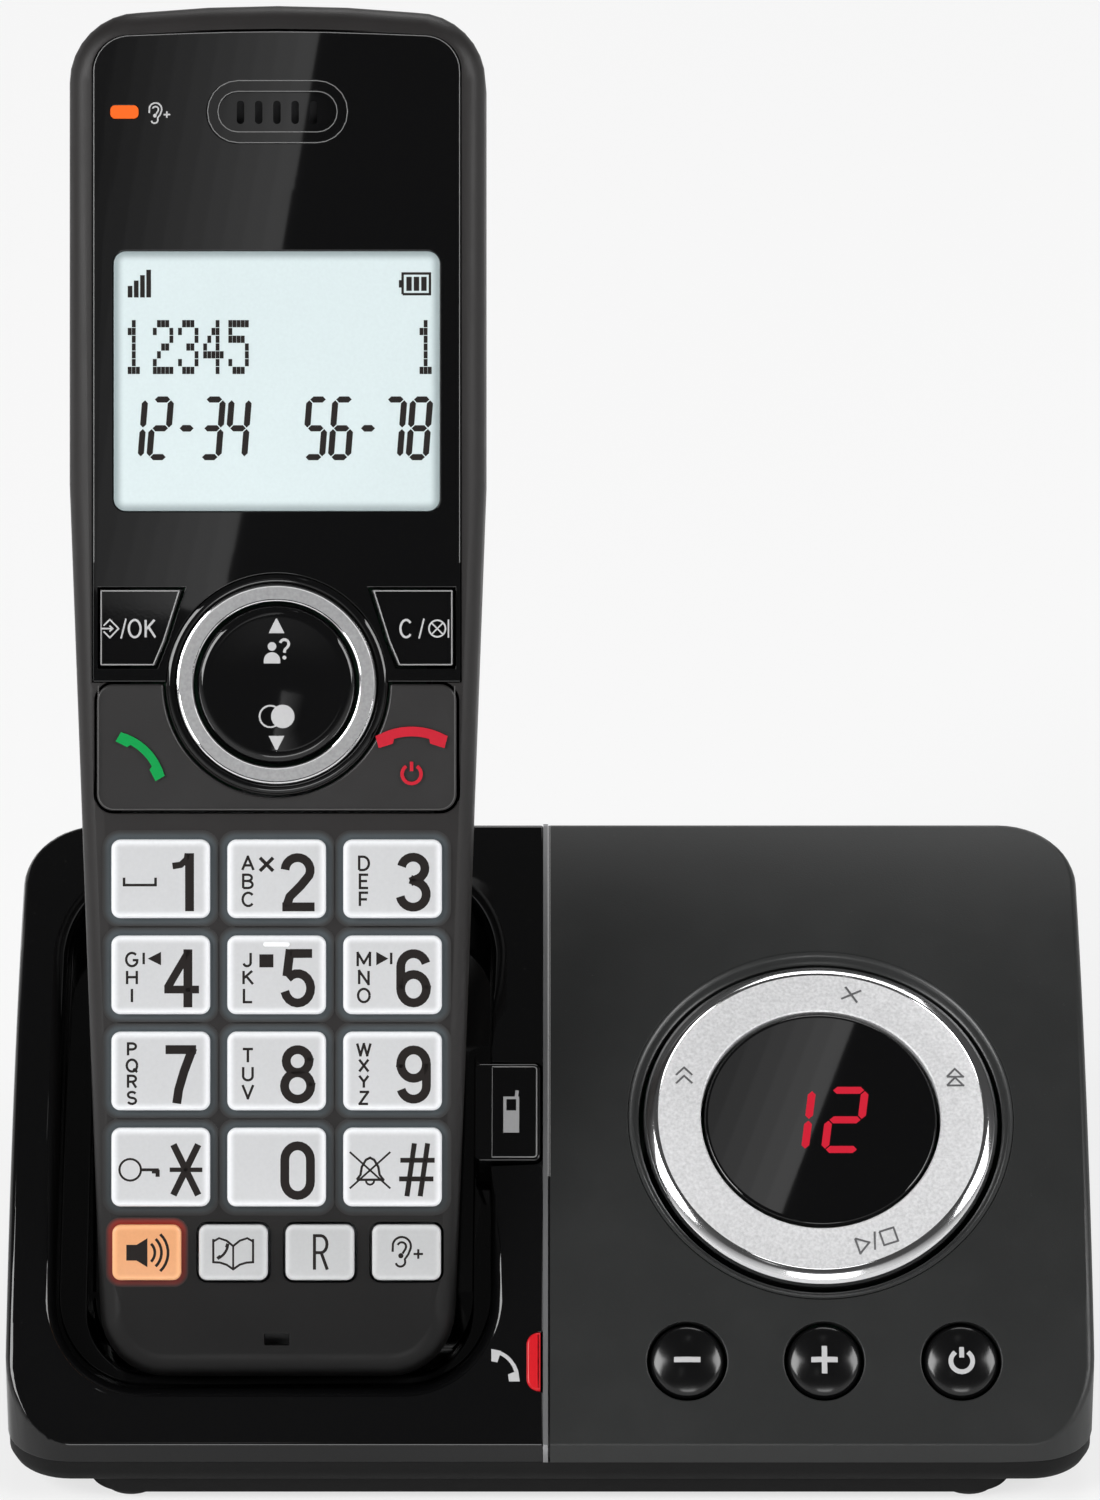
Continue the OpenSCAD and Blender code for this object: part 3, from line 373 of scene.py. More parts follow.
def backlitMaterial(name, tone):  # grey in the middle; a key's rim is painted lighter as painted backlight, the display pane's rim painted darker as painted shade
    mat, tree, shader = newMaterial(name)
    middle, rim = (*tone["middle"], 1), (*tone["rim"], 1)
    distance = edgeDistance(tree, tone["half"], tone["corner"])
    near = mapRange(tree, distance, (rimFrom, tone["reach"], 1, 0), "SMOOTHERSTEP")
    addMoulding(tree, shader, look(tone["middle"], **keyPlastic), mixColor(tree, near, middle, rim))
    ends = (middle, paneRimShade) if "glowMiddle" in tone else ((0, 0, 0, 1), rim)
    tree.links.new(mixColor(tree, near, *ends), shader.inputs["Emission Color"])
    shader.inputs["Emission Strength"].default_value = tone["glow"]
    return mat


halos = {  # half sizes, corner and spread in mm
    "keyHalo": dict(lit=(0.060, 0.074, 0.082), half=(7.05, 5.85), corner=2.1, spread=0.95),
    "orangeHalo": dict(lit=(0.52, 0.030, 0.010), half=(5.1, 4.3), corner=1.9, spread=0.8),
}


def haloMaterial(name, halo):  # painted light: the backlight's glow round a key painted into the shell's colour, fading out into it
    mat, tree, shader = newMaterial(name)
    fade = mapRange(tree, edgeDistance(tree, halo["half"], halo["corner"]), (0, halo["spread"], 0, 1))
    face = looks["handsetFace"]
    addMoulding(tree, shader, face, mixColor(tree, fade, (*face["color"], 1), (*halo["lit"], 1)))
    return mat


for name, tone in keyTones.items():
    mats[name] = backlitMaterial(name, tone)
for name, halo in halos.items():
    mats[name] = haloMaterial(name, halo)
print("materials ready:", len(mats))


def addedVerts(made):
    return [v for v in made["geom"] if isinstance(v, bmesh.types.BMVert)]


def bevel(bm, geom, size, steps, affect="EDGES"):
    ops.bevel(bm, geom=geom, offset=size * mm, offset_type="OFFSET", segments=steps, profile=0.5,
              affect=affect, clamp_overlap=False, material=-1)


def finishPiece(name, bm, place, material, body, smooth=40, replaced=()):
    bm.transform(place)
    mesh = bpy.data.meshes.new(name)
    for face in bm.faces:
        face.smooth = True
    bm.to_mesh(mesh)
    bm.free()
    mesh.set_sharp_from_angle(angle=radians(smooth))
    mesh.materials.append(mats[material])
    piece = newObject(name, mesh)
    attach(piece, body)
    if replaced:
        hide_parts(*replaced)
    return piece


# Normals for eased edges: the big faces stay flat, and the curved top shades as the true cylinder it is
topTest = {"reach": 0.06, "facing": 0.8}


def easedNormals(mesh, smooth, onTop):
    limit = cos(radians(smooth))
    touching = [[] for _ in mesh.vertices]
    for poly in mesh.polygons:
        for v in poly.vertices:
            touching[v].append((poly.normal.copy(), poly.area))
    normals = []
    for poly in mesh.polygons:
        for corner in poly.loop_indices:
            index = mesh.loops[corner].vertex_index
            total = Vector((0, 0, 0))
            for normal, area in touching[index]:
                if normal.dot(poly.normal) > limit:
                    total += normal * area
            away = fromTopAxis(mesh.vertices[index].co)
            near = abs(away.length - layout["arcR"] * mm) < topTest["reach"] * mm
            if onTop and near and poly.normal.dot(away.normalized()) > topTest["facing"]:
                total = away
            normals.append(total.normalized() if total.length > 0 else poly.normal.copy())
    mesh.normals_split_custom_set(normals)


# A merged copy of a part's own shape, with the sharp edges eased that the picks give: (test for an edge, size, steps)
def easedCopy(name, node, material, picks=(), smooth=42, sharp=50, onTop=False):
    bm = bmesh.new()
    bm.from_mesh(nodes[node].data)
    ops.remove_doubles(bm, verts=bm.verts, dist=2e-6)
    ops.dissolve_degenerate(bm, edges=bm.edges, dist=1e-6)
    ops.dissolve_limit(bm, angle_limit=radians(0.6), verts=bm.verts, edges=bm.edges)
    steep = radians(sharp)
    for wanted, size, steps in picks:
        hard = [e for e in bm.edges if len(e.link_faces) == 2 and e.calc_face_angle(0) > steep and wanted(e)]
        bevel(bm, hard, size, steps)
    piece = finishPiece(name, bm, Matrix.Identity(4), material, bodyOf(node), smooth, (node,))
    easedNormals(piece.data, smooth, onTop)
    return piece


def anyEdge(edge):
    return True


# A plate with rounded corners, its upper edge eased; the sheet UV holds millimetres from its middle
def roundedPlate(w, h, corner, low, high, ease=0, steps=6, cornerSteps=8):
    bm = bmesh.new()
    for x, y in ((-1, -1), (1, -1), (1, 1), (-1, 1)):
        bm.verts.new((x * w / 2 * mm, y * h / 2 * mm, low * mm))
    bm.faces.new(bm.verts)
    bevel(bm, bm.verts[:], corner, cornerSteps, "VERTICES")
    ops.remove_doubles(bm, verts=bm.verts, dist=1e-7)
    top = addedVerts(ops.extrude_face_region(bm, geom=bm.faces[:]))
    ops.translate(bm, verts=top, vec=(0, 0, (high - low) * mm))
    ops.recalc_face_normals(bm, faces=bm.faces)
    if ease:
        upper = set(top)
        rim = [e for e in bm.edges
               if all(v in upper for v in e.verts) and any(abs(f.normal.z) < 0.5 for f in e.link_faces)]
        bevel(bm, rim, ease, steps)
    return bm


def layUV(bm):
    layer = bm.loops.layers.uv.new("sheet")
    for face in bm.faces:
        for loop in face.loops:
            loop[layer].uv = (loop.vert.co.x / mm, loop.vert.co.y / mm)


def arcPoints(cx, cy, r, start, stop, count=8, tall=None):
    tall = r if tall is None else tall
    angles = [radians(start + (stop - start) * i / count) for i in range(count + 1)]
    return [(cx + r * cos(a), cy + tall * sin(a)) for a in angles]


# A turned part from its profile of (radius, height) points
def spunPart(profile, steps=96, closed=True):
    bm = bmesh.new()
    verts = [bm.verts.new((r * mm, 0, z * mm)) for r, z in profile]
    edges = [bm.edges.new((verts[i], verts[i + 1])) for i in range(len(verts) - 1)]
    if closed:
        edges.append(bm.edges.new((verts[-1], verts[0])))
    ops.spin(bm, geom=verts + edges, cent=(0, 0, 0), axis=(0, 0, 1), dvec=(0, 0, 0), angle=tau, steps=steps,
             use_merge=True)
    ops.remove_doubles(bm, verts=bm.verts, dist=1e-7)
    ops.recalc_face_normals(bm, faces=bm.faces)
    return bm


def followTop(bm, fade=None):  # lets a flat part sink with the base's curved top
    r = layout["arcR"] * mm
    for v in bm.verts:
        share = 1 if fade is None else min(max((v.co.z - fade[0] * mm) / ((fade[1] - fade[0]) * mm), 0), 1)
        v.co.z += share * (sqrt(r * r - v.co.y ** 2) - r)


# A drawing is a list of strokes, in mm
def line(width, points, closed=False):
    return "line", width, points, closed


def fill(points):
    return "fill", points


def box(left, low, right, high):
    return fill([(left, low), (right, low), (right, high), (left, high)])


def dot(x, y, r):
    return "dot", x, y, r


def sideMesh(data):
    obj = newObject("scratch", data)
    bpy.context.view_layer.update()
    mesh = bpy.data.meshes.new_from_object(obj.evaluated_get(bpy.context.evaluated_depsgraph_get()))
    bpy.data.objects.remove(obj)
    return mesh


sharpTurn, runOver = 0.6, 0.4  # cosine of a turn that cuts a stroke, and how far each run goes past it, in widths


def cornerRuns(points, closed, width):  # cuts a stroke where it turns sharply, so that each run keeps its width
    loop = [Vector(p) for p in (points + points[:1] if closed else points)]
    runs, run = [], [loop[0]]
    for before, here, after in zip(loop, loop[1:], loop[2:]):
        arriving, leaving = (here - before).normalized(), (after - here).normalized()
        if arriving.dot(leaving) < sharpTurn:
            runs.append(run + [here + arriving * width * runOver])
            run = [here - leaving * width * runOver]
        else:
            run.append(here)
    return runs + [run + [loop[-1]]]


def drawStrokes(bm, strokes, thick):
    for width in sorted({s[1] for s in strokes if s[0] == "line"}):
        curve = bpy.data.curves.new("stroke", "CURVE")
        curve.dimensions = "3D"
        curve.bevel_depth = width / 2
        curve.bevel_resolution = 1
        curve.use_fill_caps = True
        for points, closed in [s[2:] for s in strokes if s[0] == "line" and s[1] == width]:
            runs = cornerRuns(points, closed, width)
            for run in [points] if len(runs) == 1 else runs:
                spline = curve.splines.new("POLY")
                spline.points.add(len(run) - 1)
                for point, (x, y) in zip(spline.points, run):
                    point.co = (x, y, 0, 1)
                spline.use_cyclic_u = closed and len(runs) == 1
        mesh = sideMesh(curve)
        mesh.transform(Matrix.Diagonal((mm, mm, thick * mm / (width / 2), 1)))
        bm.from_mesh(mesh)
    for s in strokes:
        if s[0] == "fill":
            face = bm.faces.new([bm.verts.new((x * mm, y * mm, 0)) for x, y in s[1]])
            face.normal_update()
            if face.normal.z < 0:
                face.normal_flip()
            made = ops.extrude_face_region(bm, geom=[face])
            ops.translate(bm, verts=addedVerts(made), vec=(0, 0, thick * mm))
        if s[0] == "dot":
            ops.create_cone(bm, cap_ends=True, segments=24, radius1=s[3] * mm, radius2=s[3] * mm, depth=thick * mm,
                            matrix=Matrix.Translation((s[1] * mm, s[2] * mm, thick / 2 * mm)))


def drawing(name, strokes, place, ink, body, thick=0.03, sink=False):
    bm = bmesh.new()
    drawStrokes(bm, strokes, thick)
    if sink:
        followTop(bm)
    return finishPiece(name, bm, place, ink, body, 30)


def moved(strokes, dx, dy, scale=1, turn=0):
    c, s = cos(radians(turn)), sin(radians(turn))

    def at(x, y):
        return (dx + scale * (x * c - y * s), dy + scale * (x * s + y * c))

    out = []
    for kind, *rest in strokes:
        if kind == "line":
            out.append(line(rest[0] * scale, [at(*p) for p in rest[1]], rest[2]))
        elif kind == "fill":
            out.append(fill([at(*p) for p in rest[0]]))
        else:
            out.append(dot(*at(*rest[:2]), rest[2] * scale))
    return out


# Figure of seven bars, leaning a little
barTable = {"1": "bc", "2": "abged", "3": "abgcd", "4": "fgbc", "5": "afgcd", "6": "afgedc", "7": "abc",
            "8": "abcdefg"}
barGap = 0.12  # between two bars, in bar widths


def barFigure(digit, x, y, w, h, t, lean=0.13):
    half, end, gap = h / 2, t / 2, barGap * t
    flat = {"a": half - end, "g": 0, "d": -half + end}
    strokes = []
    for bar in barTable[digit]:
        if bar in flat:
            cy, a = flat[bar], w / 2 - end - gap
            pts = [(-a, cy), (-a + end, cy + end), (a - end, cy + end), (a, cy), (a - end, cy - end),
                   (-a + end, cy - end)]
        else:
            cx = (w - t) / 2 * (1 if bar in "bc" else -1)
            lo, hi = (gap, half - end - gap) if bar in "bf" else (-half + end + gap, -gap)
            pts = [(cx, lo), (cx + end, lo + end), (cx + end, hi - end), (cx, hi), (cx - end, hi - end),
                   (cx - end, lo + end)]
        strokes.append(fill([(x + px + lean * py, y + py) for px, py in pts]))
    return strokes


# A receiver seen from the side: the curved grip and its two ends
grip = {"y": -7.4, "outer": 8.7, "inner": 7.5, "outerSpan": (118.5, 61.5, 12), "innerSpan": (73.5, 106.5, 10)}
phoneIcon = [fill(
    [(-4.45, 0.15)] + arcPoints(0, grip["y"], grip["outer"], *grip["outerSpan"])
    + [(4.45, 0.15), (4.05, -1.35), (2.3, -0.8), (2.15, -0.15)]
    + arcPoints(0, grip["y"], grip["inner"], *grip["innerSpan"])
    + [(-2.15, -0.15), (-2.3, -0.8), (-4.05, -1.35)])]
powerIcon = [line(0.42, arcPoints(0, -0.15, 1.15, 125, 415, 18)), line(0.42, [(0, 0.2), (0, 1.35)])]
upIcon = [fill([(-1, -1), (1, -1), (0, 1)])]
earIcon = [line(0.26, [(-1.25, 0.1)] + arcPoints(-0.2, 0.75, 1.05, 165, -25, 14) + [(0.55, -0.2), (0.15, -0.75)]
                + arcPoints(-0.35, -1.05, 0.55, 15, -165, 8)),
           line(0.26, arcPoints(-0.2, 0.7, 0.5, 160, -30, 8) + [(-0.1, -0.1)]), dot(-0.3, -0.35, 0.3),
           line(0.26, [(1.15, -0.15), (2.25, -0.15)]), line(0.26, [(1.7, -0.7), (1.7, 0.4)])]
personIcon = [dot(0, 0.85, 0.52), fill([(-1, -1.2), (1, -1.2)] + arcPoints(0, -0.85, 1, 0, 180, 12))]
askIcon = [line(0.36, arcPoints(0, 0.65, 0.52, 165, -45, 10) + [(0.05, -0.05), (0, -0.4)]), dot(0, -1, 0.24)]

covers = {
    "dishEase": 1.9, "seamEase": 0.25, "housingEase": 0.2, "smooth": 42, "sharp": 58, "nearTop": 0.08, "short": 0.4,
    "rimRight": -6.6, "notchLeft": -10.5, "notch": (-25.5, -10.5), "seamRight": 1,
}


def onRim(edge):  # the dish's upper rim, away from the find key's notch and the seam
    for v in edge.verts:
        x, y = v.co.x / mm, v.co.y / mm
        if abs(fromTopAxis(v.co).length / mm - layout["arcR"]) > covers["nearTop"] or x > covers["rimRight"]:
            return False
        if x > covers["notchLeft"] and covers["notch"][0] < y < covers["notch"][1]:
            return False
    return True


def offRim(edge):
    return not onRim(edge) and edge.calc_length() > covers["short"] * mm


def offSeam(edge):  # every edge but those beside the bright strip
    return min(v.co.x for v in edge.verts) > covers["seamRight"] * mm


easedCopy("cradleShell", "cradle_cover", "blackGloss",
          [(onRim, covers["dishEase"], 6), (offRim, covers["seamEase"], 2)], covers["smooth"], covers["sharp"], True)
easedCopy("controlShell", "control_cover", "satinCover",
          [(offSeam, covers["seamEase"], 2)], covers["smooth"], covers["sharp"], True)
easedCopy("bottomHousing", "lower_housing", "housingBlack",
          [(anyEdge, covers["housingEase"], 2)])

recess = {"outer": 23.58, "inner": 22.34, "depth": 1.28, "lip": 0.75, "drop": 0.95, "floor": (0.25, 0.1),
          "top": -0.02}
inner, outer, floorAt = recess["inner"], recess["outer"], -recess["depth"]
recessProfile = [(inner, floorAt), (inner + recess["floor"][0], floorAt + recess["floor"][1])]
for a in (20, 40, 60, 80, 90):
    over, up = recess["lip"] * cos(radians(a)), recess["drop"] * sin(radians(a))
    recessProfile.append((outer - over, -recess["drop"] + up))
recessProfile += [(outer, recess["top"]), (outer, floorAt)]
recessPart = spunPart(recessProfile, 128)
followTop(recessPart)
finishPiece("ringRecess", recessPart, ringSheet(), "recessSatin", "base", 60)


def brighten(piece, place, inner, outer):  # polished metal outside the band between two radii
    piece.data.materials.append(mats["brightEdge"])
    back = place.inverted()
    for poly in piece.data.polygons:
        spot = back @ poly.center
        if not inner * mm < hypot(spot.x, spot.y) < outer * mm:
            poly.material_index = 1


ring = {"low": -3.4, "sinkTo": -1.2, "steps": 144, "brightFrom": 19.96, "profile": [
    (14.72, -1.2), (14.72, 0.02), (14.9, 0.2), (19.95, 0.26), (20, 0.28), (20.08, 0.33), (20.3, 0.32), (20.7, 0.12),
    (21.1, -0.12), (21.5, -0.42), (21.75, -0.8), (21.78, -1.2), (21.78, -3), (21.4, -3.4), (14.72, -3.4)]}
ringPart = spunPart(ring["profile"], ring["steps"])
followTop(ringPart, (ring["low"], ring["sinkTo"]))
ringPiece = finishPiece("controlRing", ringPart, ringSheet(), "ringSilver", "control_ring", 32,
                        ("control_ring",))
brighten(ringPiece, ringSheet(), 0, ring["brightFrom"])

lens = {"face": -0.5, "steps": 128, "profile": [
    (0, -0.5), (7, -0.5), (13.8, -0.5), (14, -0.5), (14.17, -0.56), (14.26, -0.68), (14.28, -0.9), (14.28, -2),
    (0, -2)]}
finishPiece("counterLens", spunPart(lens["profile"], lens["steps"], False), ringSheet(), "blackLens", "base",
            40, ("display_lens",))
counter = barFigure("1", -2.6, -0.2, 3.2, 9, 0.95) + barFigure("2", 3, -0.2, 5, 9, 0.95)
drawing("counterFigures", counter, ringSheet(lens["face"]), "redFigure", "base", 0.02)

thin = 0.24
crossMark = [line(thin, [(-0.95, -0.75), (0.95, 0.75)]), line(thin, [(-0.8, 0.85), (0.8, -0.85)])]
backMark = [line(thin, [(-0.95, -0.9), (0, 0.1), (0.95, -0.9)]),
            line(thin, [(-0.95, 0.2), (0, 1.2), (0.95, 0.2)])]
skipMark = [line(thin, [(-0.95, -0.9), (0, 0.15), (0.95, -0.9)], True),
            line(thin, [(-0.95, 0.25), (0, 1.3), (0.95, 0.25)], True)]
playMark = [line(thin, [(-2.6, 1), (-1.1, 0), (-2.6, -1)], True), line(thin, [(-0.75, -1.1), (-0.05, 1.1)]),
            line(thin, [(0.5, 0.9), (2.3, 0.9), (2.3, -0.9), (0.5, -0.9)], True)]
ringMarks = moved(crossMark, 4.1, 17.1, 1.15, -12) + moved(backMark, -16.7, 5.4, 1.05)
ringMarks += moved(skipMark, 16.6, 5.1, 1.05) + moved(playMark, 6.7, -16.3, 1, 18)
drawing("ringMarks", ringMarks, ringSheet(0.262), "engraved", "control_ring", 0.02, True)

domeSteps = [i * 0.2 for i in range(-8, 9)]
plusBar = [line(0.66, [(t, 0) for t in domeSteps])]
domeIcons = {
    "volume_down_key": plusBar,
    "volume_up_key": plusBar + [line(0.66, [(0, t * 1.06) for t in domeSteps])],
    "power_key": moved([line(0.5, stroke[2]) for stroke in powerIcon], 0, 0, 1.15),
}
dome = {"steps": 72, "markTop": 0.755, "markFall": 0.046, "profile": [
    (0, 0.74), (0.6, 0.723), (1.2, 0.672), (1.7, 0.604), (2.2, 0.51), (3, 0.32), (3.6, 0.13), (4, -0.05),
    (4.28, -0.28), (4.46, -0.6), (4.5, -1), (4.5, -3.4), (0, -3.4)]}


def raiseMarks(piece, place, heightAt):  # lets flat marks lie on a turned surface
    back = place.inverted()
    for v in piece.data.vertices:
        spot = back @ v.co
        spot.z += heightAt(hypot(spot.x, spot.y) / mm) * mm
        v.co = place @ spot


for i, (node, icon) in enumerate(domeIcons.items()):
    place = topSheet(layout["ringX"] + (i - 1) * layout["roundKeyPitch"], layout["roundKeySlope"])
    cap = spunPart(dome["profile"], dome["steps"], False)
    finishPiece(titled("dome", node), cap, place, "domeGloss", bodyOf(node), 50, (node,))
    mark = drawing(titled("icon", node), icon, place, "paleInk", bodyOf(node))
    raiseMarks(mark, place, lambda r: dome["markTop"] - dome["markFall"] * r * r)

strip = {"back": 52, "ease": 1.3, "middle": -0.5, "gap": -0.1, "thin": 0.3, "low": 10, "shrink": 0.985}
easedCopy("findKeyCap", "find_key", "blackGloss", [(anyEdge, 0.25, 3)])


def backCorner(edge):  # where the trim turns down the base's back
    run = (edge.verts[0].co - edge.verts[1].co).normalized()
    return all(v.co.z > strip["back"] * mm for v in edge.verts) and abs(run.x) > 0.9


easedCopy("seamStrip", "seam_trim", "trimSilver", [(backCorner, strip["ease"], 6)], onTop=True)
shade = bmesh.new()  # painted shade: a dark strip closes the thin gap beside the strip, so that no light shows through it
shade.from_mesh(nodes["seam_trim"].data)
ops.remove_doubles(shade, verts=shade.verts, dist=1e-6)
for v in shade.verts:
    v.co = (strip["gap"] * mm + (v.co.x - strip["middle"] * mm) * strip["thin"], v.co.y * strip["shrink"],
            strip["low"] * mm + (v.co.z - strip["low"] * mm) * strip["shrink"])
finishPiece("seamShade", shade, Matrix.Identity(4), "partBlack", "base", 40)

lamp = {"w": 1.7, "len": 7.2, "right": -1.15, "slope": 47.45, "round": 1.5, "low": -2.2, "tall": 2.5, "ease": 0.35}
side, tip = lamp["right"] - lamp["w"], lamp["len"] / 2
lampBody = bmesh.new()
outline = arcPoints(side + lamp["round"], tip - lamp["round"], lamp["round"], 180, 90, 8)
outline += [(lamp["right"], tip), (lamp["right"], -tip)]
outline += arcPoints(side + lamp["round"], -tip + lamp["round"], lamp["round"], 270, 180, 8)
lampFace = lampBody.faces.new([lampBody.verts.new((x * mm, y * mm, lamp["low"] * mm)) for x, y in outline])
lampTop = addedVerts(ops.extrude_face_region(lampBody, geom=[lampFace]))
ops.translate(lampBody, verts=lampTop, vec=(0, 0, lamp["tall"] * mm))
ops.recalc_face_normals(lampBody, faces=lampBody.faces)
upper = set(lampTop)
bevel(lampBody, [e for e in lampBody.edges if all(v in upper for v in e.verts)], lamp["ease"], 4)
finishPiece("messageLampLens", lampBody, topSheet(0, lamp["slope"]), "lampRed", "base", 40,
            ("message_lamp",))

find = {"markAt": (-4.75, -0.4), "markOut": 0.31, "edgeOut": 0.29, "left": -7.1, "right": -2.05, "half": 5.75,
        "r": 0.4}
findMark = [box(-0.97, -2.45, 0.97, 0.55), box(-0.97, 0.55, -0.6, 2.1),
            box(0.6, 0.55, 0.97, 2.1), box(-0.97, 2.1, 0.97, 2.45),
            line(0.42, [(0.62, 2.4), (0.72, 3.3)])]
drawing("findKeyMark", moved(findMark, *find["markAt"]), topSheet(0, layout["findSlope"], find["markOut"]), "paleInk",
        "find_key", 0.02)
# painted highlight along the find key's edges
findEdge = [line(0.2, [(-7.1, 6.15), (-1.9, 6.15)] + arcPoints(find["right"], find["half"], find["r"], 90, 0, 4)
                 + [(-1.65, -5.75)] + arcPoints(find["right"], -find["half"], find["r"], 0, -90, 4)
                 + [(-7.1, -6.15)]),
            line(0.09, [(find["left"], 6.1), (find["left"], -6.1)])]
drawing("findKeyEdge", findEdge, topSheet(0, layout["findSlope"], find["edgeOut"]), "paintedEdgeHighlight", "find_key")

lineArc = {"x": -1.9, "y": -2.2, "r": 3.2, "tall": 3.7, "ends": 1.16}
lineIcon = [line(0.46, arcPoints(lineArc["x"], lineArc["y"], lineArc["r"], 75, 15, 10, lineArc["tall"]))]
for start in (71, 1):  # the two thick ends
    turns = [radians(start + a) for a in (-1, 19)]
    corners = [(2.15, turns[0]), (3.45, turns[0]), (3.45, turns[1]), (2.15, turns[1])]
    lineIcon.append(fill([(lineArc["x"] + r * cos(a), lineArc["y"] + r * lineArc["ends"] * sin(a))
                          for r, a in corners]))
drawing("lineMark", moved(lineIcon, -5.2, -0.1), topSheet(0, 47.5, 0.02), "paleInk", "base", 0.02)

plainParts = {
    "rubber_feet": "footRubber", "housing_screws": "screwSteel", "main_board": "boardGreen",
    "key_board": "boardGreen", "key_switches": "partBlack", "base_speaker": "paperCone", "line_socket": "partBlack",
    "power_socket": "partBlack", "charge_springs": "springMetal", "counter_display": "partBlack",
    "ring_carrier": "partBlack", "display_module": "displayBack", "earpiece_speaker": "paperCone",
    "handset_lamp": "lampOrange", "handset_board": "boardGreen", "keypad_mat": "matRubber", "microphone": "partBlack",
    "earpiece_cover": "panelGloss", "battery_pack": "cellWrap", "charge_plates": "springMetal",
}
for node, material in plainParts.items():
    mesh = nodes[node].data
    mesh.materials.clear()
    mesh.materials.append(mats[material])
print("base dressed")

easedCopy("frontShell", "handset_front", "handsetFace", [(anyEdge, 0.15, 2)], 40, 70)
easedCopy("rearShell", "handset_back", "handsetRearLitCopy", smooth=40)
easedCopy("batteryDoor", "battery_door", "handsetRearLitCopy", smooth=40)
easedCopy("facePanel", "face_panel", "panelGloss", [(anyEdge, 0.12, 2)])


def roundedLoop(w, h, r, cx=0, cy=0):
    pts = []
    for sx, sy, start in ((1, 1, 0), (-1, 1, 90), (-1, -1, 180), (1, -1, 270)):
        pts += arcPoints(cx + sx * (w / 2 - r), cy + sy * (h / 2 - r), r, start, start + 90, 5)
    return pts


panel = {
    "top": 162.7, "half": 22.08, "low": 98.5, "corner": 4.3, "drop": 0.6, "crown": (0.12, 0.55),
    "windowAt": 120.4, "windowW": 39.4, "windowH": 31.4, "earAt": (0.1, 152.95),
    "earLoops": ((16.9, 7.5, 3.7), (14.4, 4.9, 2.4)),
}
# painted highlight along the earpiece's two rims
earLoops = [line(0.11, roundedLoop(*loop, *panel["earAt"]), True) for loop in panel["earLoops"]]
drawing("earpieceEdgeHighlight", earLoops, faceSheet(0.02), "paintedOutlineHighlight", "handset")
# painted highlight along the gloss panel's edge
half, corner = panel["half"], panel["corner"]
shoulder = panel["top"] - corner - panel["drop"]
edge = [(-half, panel["low"]), (-half, shoulder)] + arcPoints(-half + corner, shoulder, corner, 180, 95, 8)
edge += [(x * (half - corner), panel["top"] - panel["crown"][0] - panel["crown"][1] * x * x)
         for x in (-0.66, -0.33, 0, 0.33, 0.66)]
edge += arcPoints(half - corner, shoulder, corner, 85, 0, 8) + [(half, panel["low"])]
drawing("panelEdge", [line(0.1, edge)], faceSheet(0), "paintedOutlineHighlight", "handset")
drawing("earMark", moved(earIcon, -14.5, 152.7, 0.72), faceSheet(0.02), "paleInk", "handset")
pane = roundedPlate(panel["windowW"], panel["windowH"], 1.5, -1.1, 0, 0.12, 3)
layUV(pane)
finishPiece("displayPane", pane, lifted(faceSheet(-0.02), 0, panel["windowAt"]), "displayPane", "handset",
            40, ("display_window",))

cell = {"first": -17.2, "pitch": 3.13, "w": 2.8, "h": 7.7, "bar": 0.74, "at": 114.7, "lean": 0.08}
dash = ((-0.8, 0), (-0.4, 0.4), (0.5, 0.4), (0.9, 0), (0.5, -0.4), (-0.4, -0.4))
ink = []
for i, sign in enumerate("12-34  56-78"):
    x = cell["first"] + i * cell["pitch"]
    if sign == "-":
        ink.append(fill([(x + px, cell["at"] + py) for px, py in dash]))
    elif sign != " ":
        ink += barFigure(sign, x, cell["at"], cell["w"], cell["h"], cell["bar"], cell["lean"])
ink += [box(x, 130.5, x + 0.56, 131.9 + k * 0.65) for k, x in enumerate((-18, -17.25, -16.5, -15.75))]
ink += [line(0.3, [(15.2, 130.9), (18.5, 130.9), (18.5, 133.4), (15.2, 133.4)], True), box(14.75, 131.7, 15.1, 132.6)]
ink += [box(x, 131.3, x + 0.65, 133) for x in (15.65, 16.55, 17.45)]
dots = {"pitch": (0.5, 0.94), "size": (0.46, 0.87), "top": 126.9, "first": -18, "step": 3.04, "last": 17.25}
dotRows = {
    "1": "010 110 010 010 010 010 111", "2": "01110 10001 00001 00110 01000 10000 11111",
    "3": "01110 10001 00001 00110 00001 10001 01110", "4": "00010 00110 01010 10010 11111 00010 00010",
    "5": "11111 10000 11110 00001 00001 10001 01110",
}


def dotFigure(digit, left):
    out = []
    for down, row in enumerate(dotRows[digit].split()):
        for across, on in enumerate(row):
            if on == "1":
                x, y = left + across * dots["pitch"][0], dots["top"] - down * dots["pitch"][1]
                out.append(box(x, y, x + dots["size"][0], y + dots["size"][1]))
    return out


for i, digit in enumerate("12345"):
    ink += dotFigure(digit, dots["first"] + i * dots["step"])
ink += dotFigure("1", dots["last"])
drawing("displayFigures", ink, faceSheet(-0.01), "figureInk", "handset", 0.012)

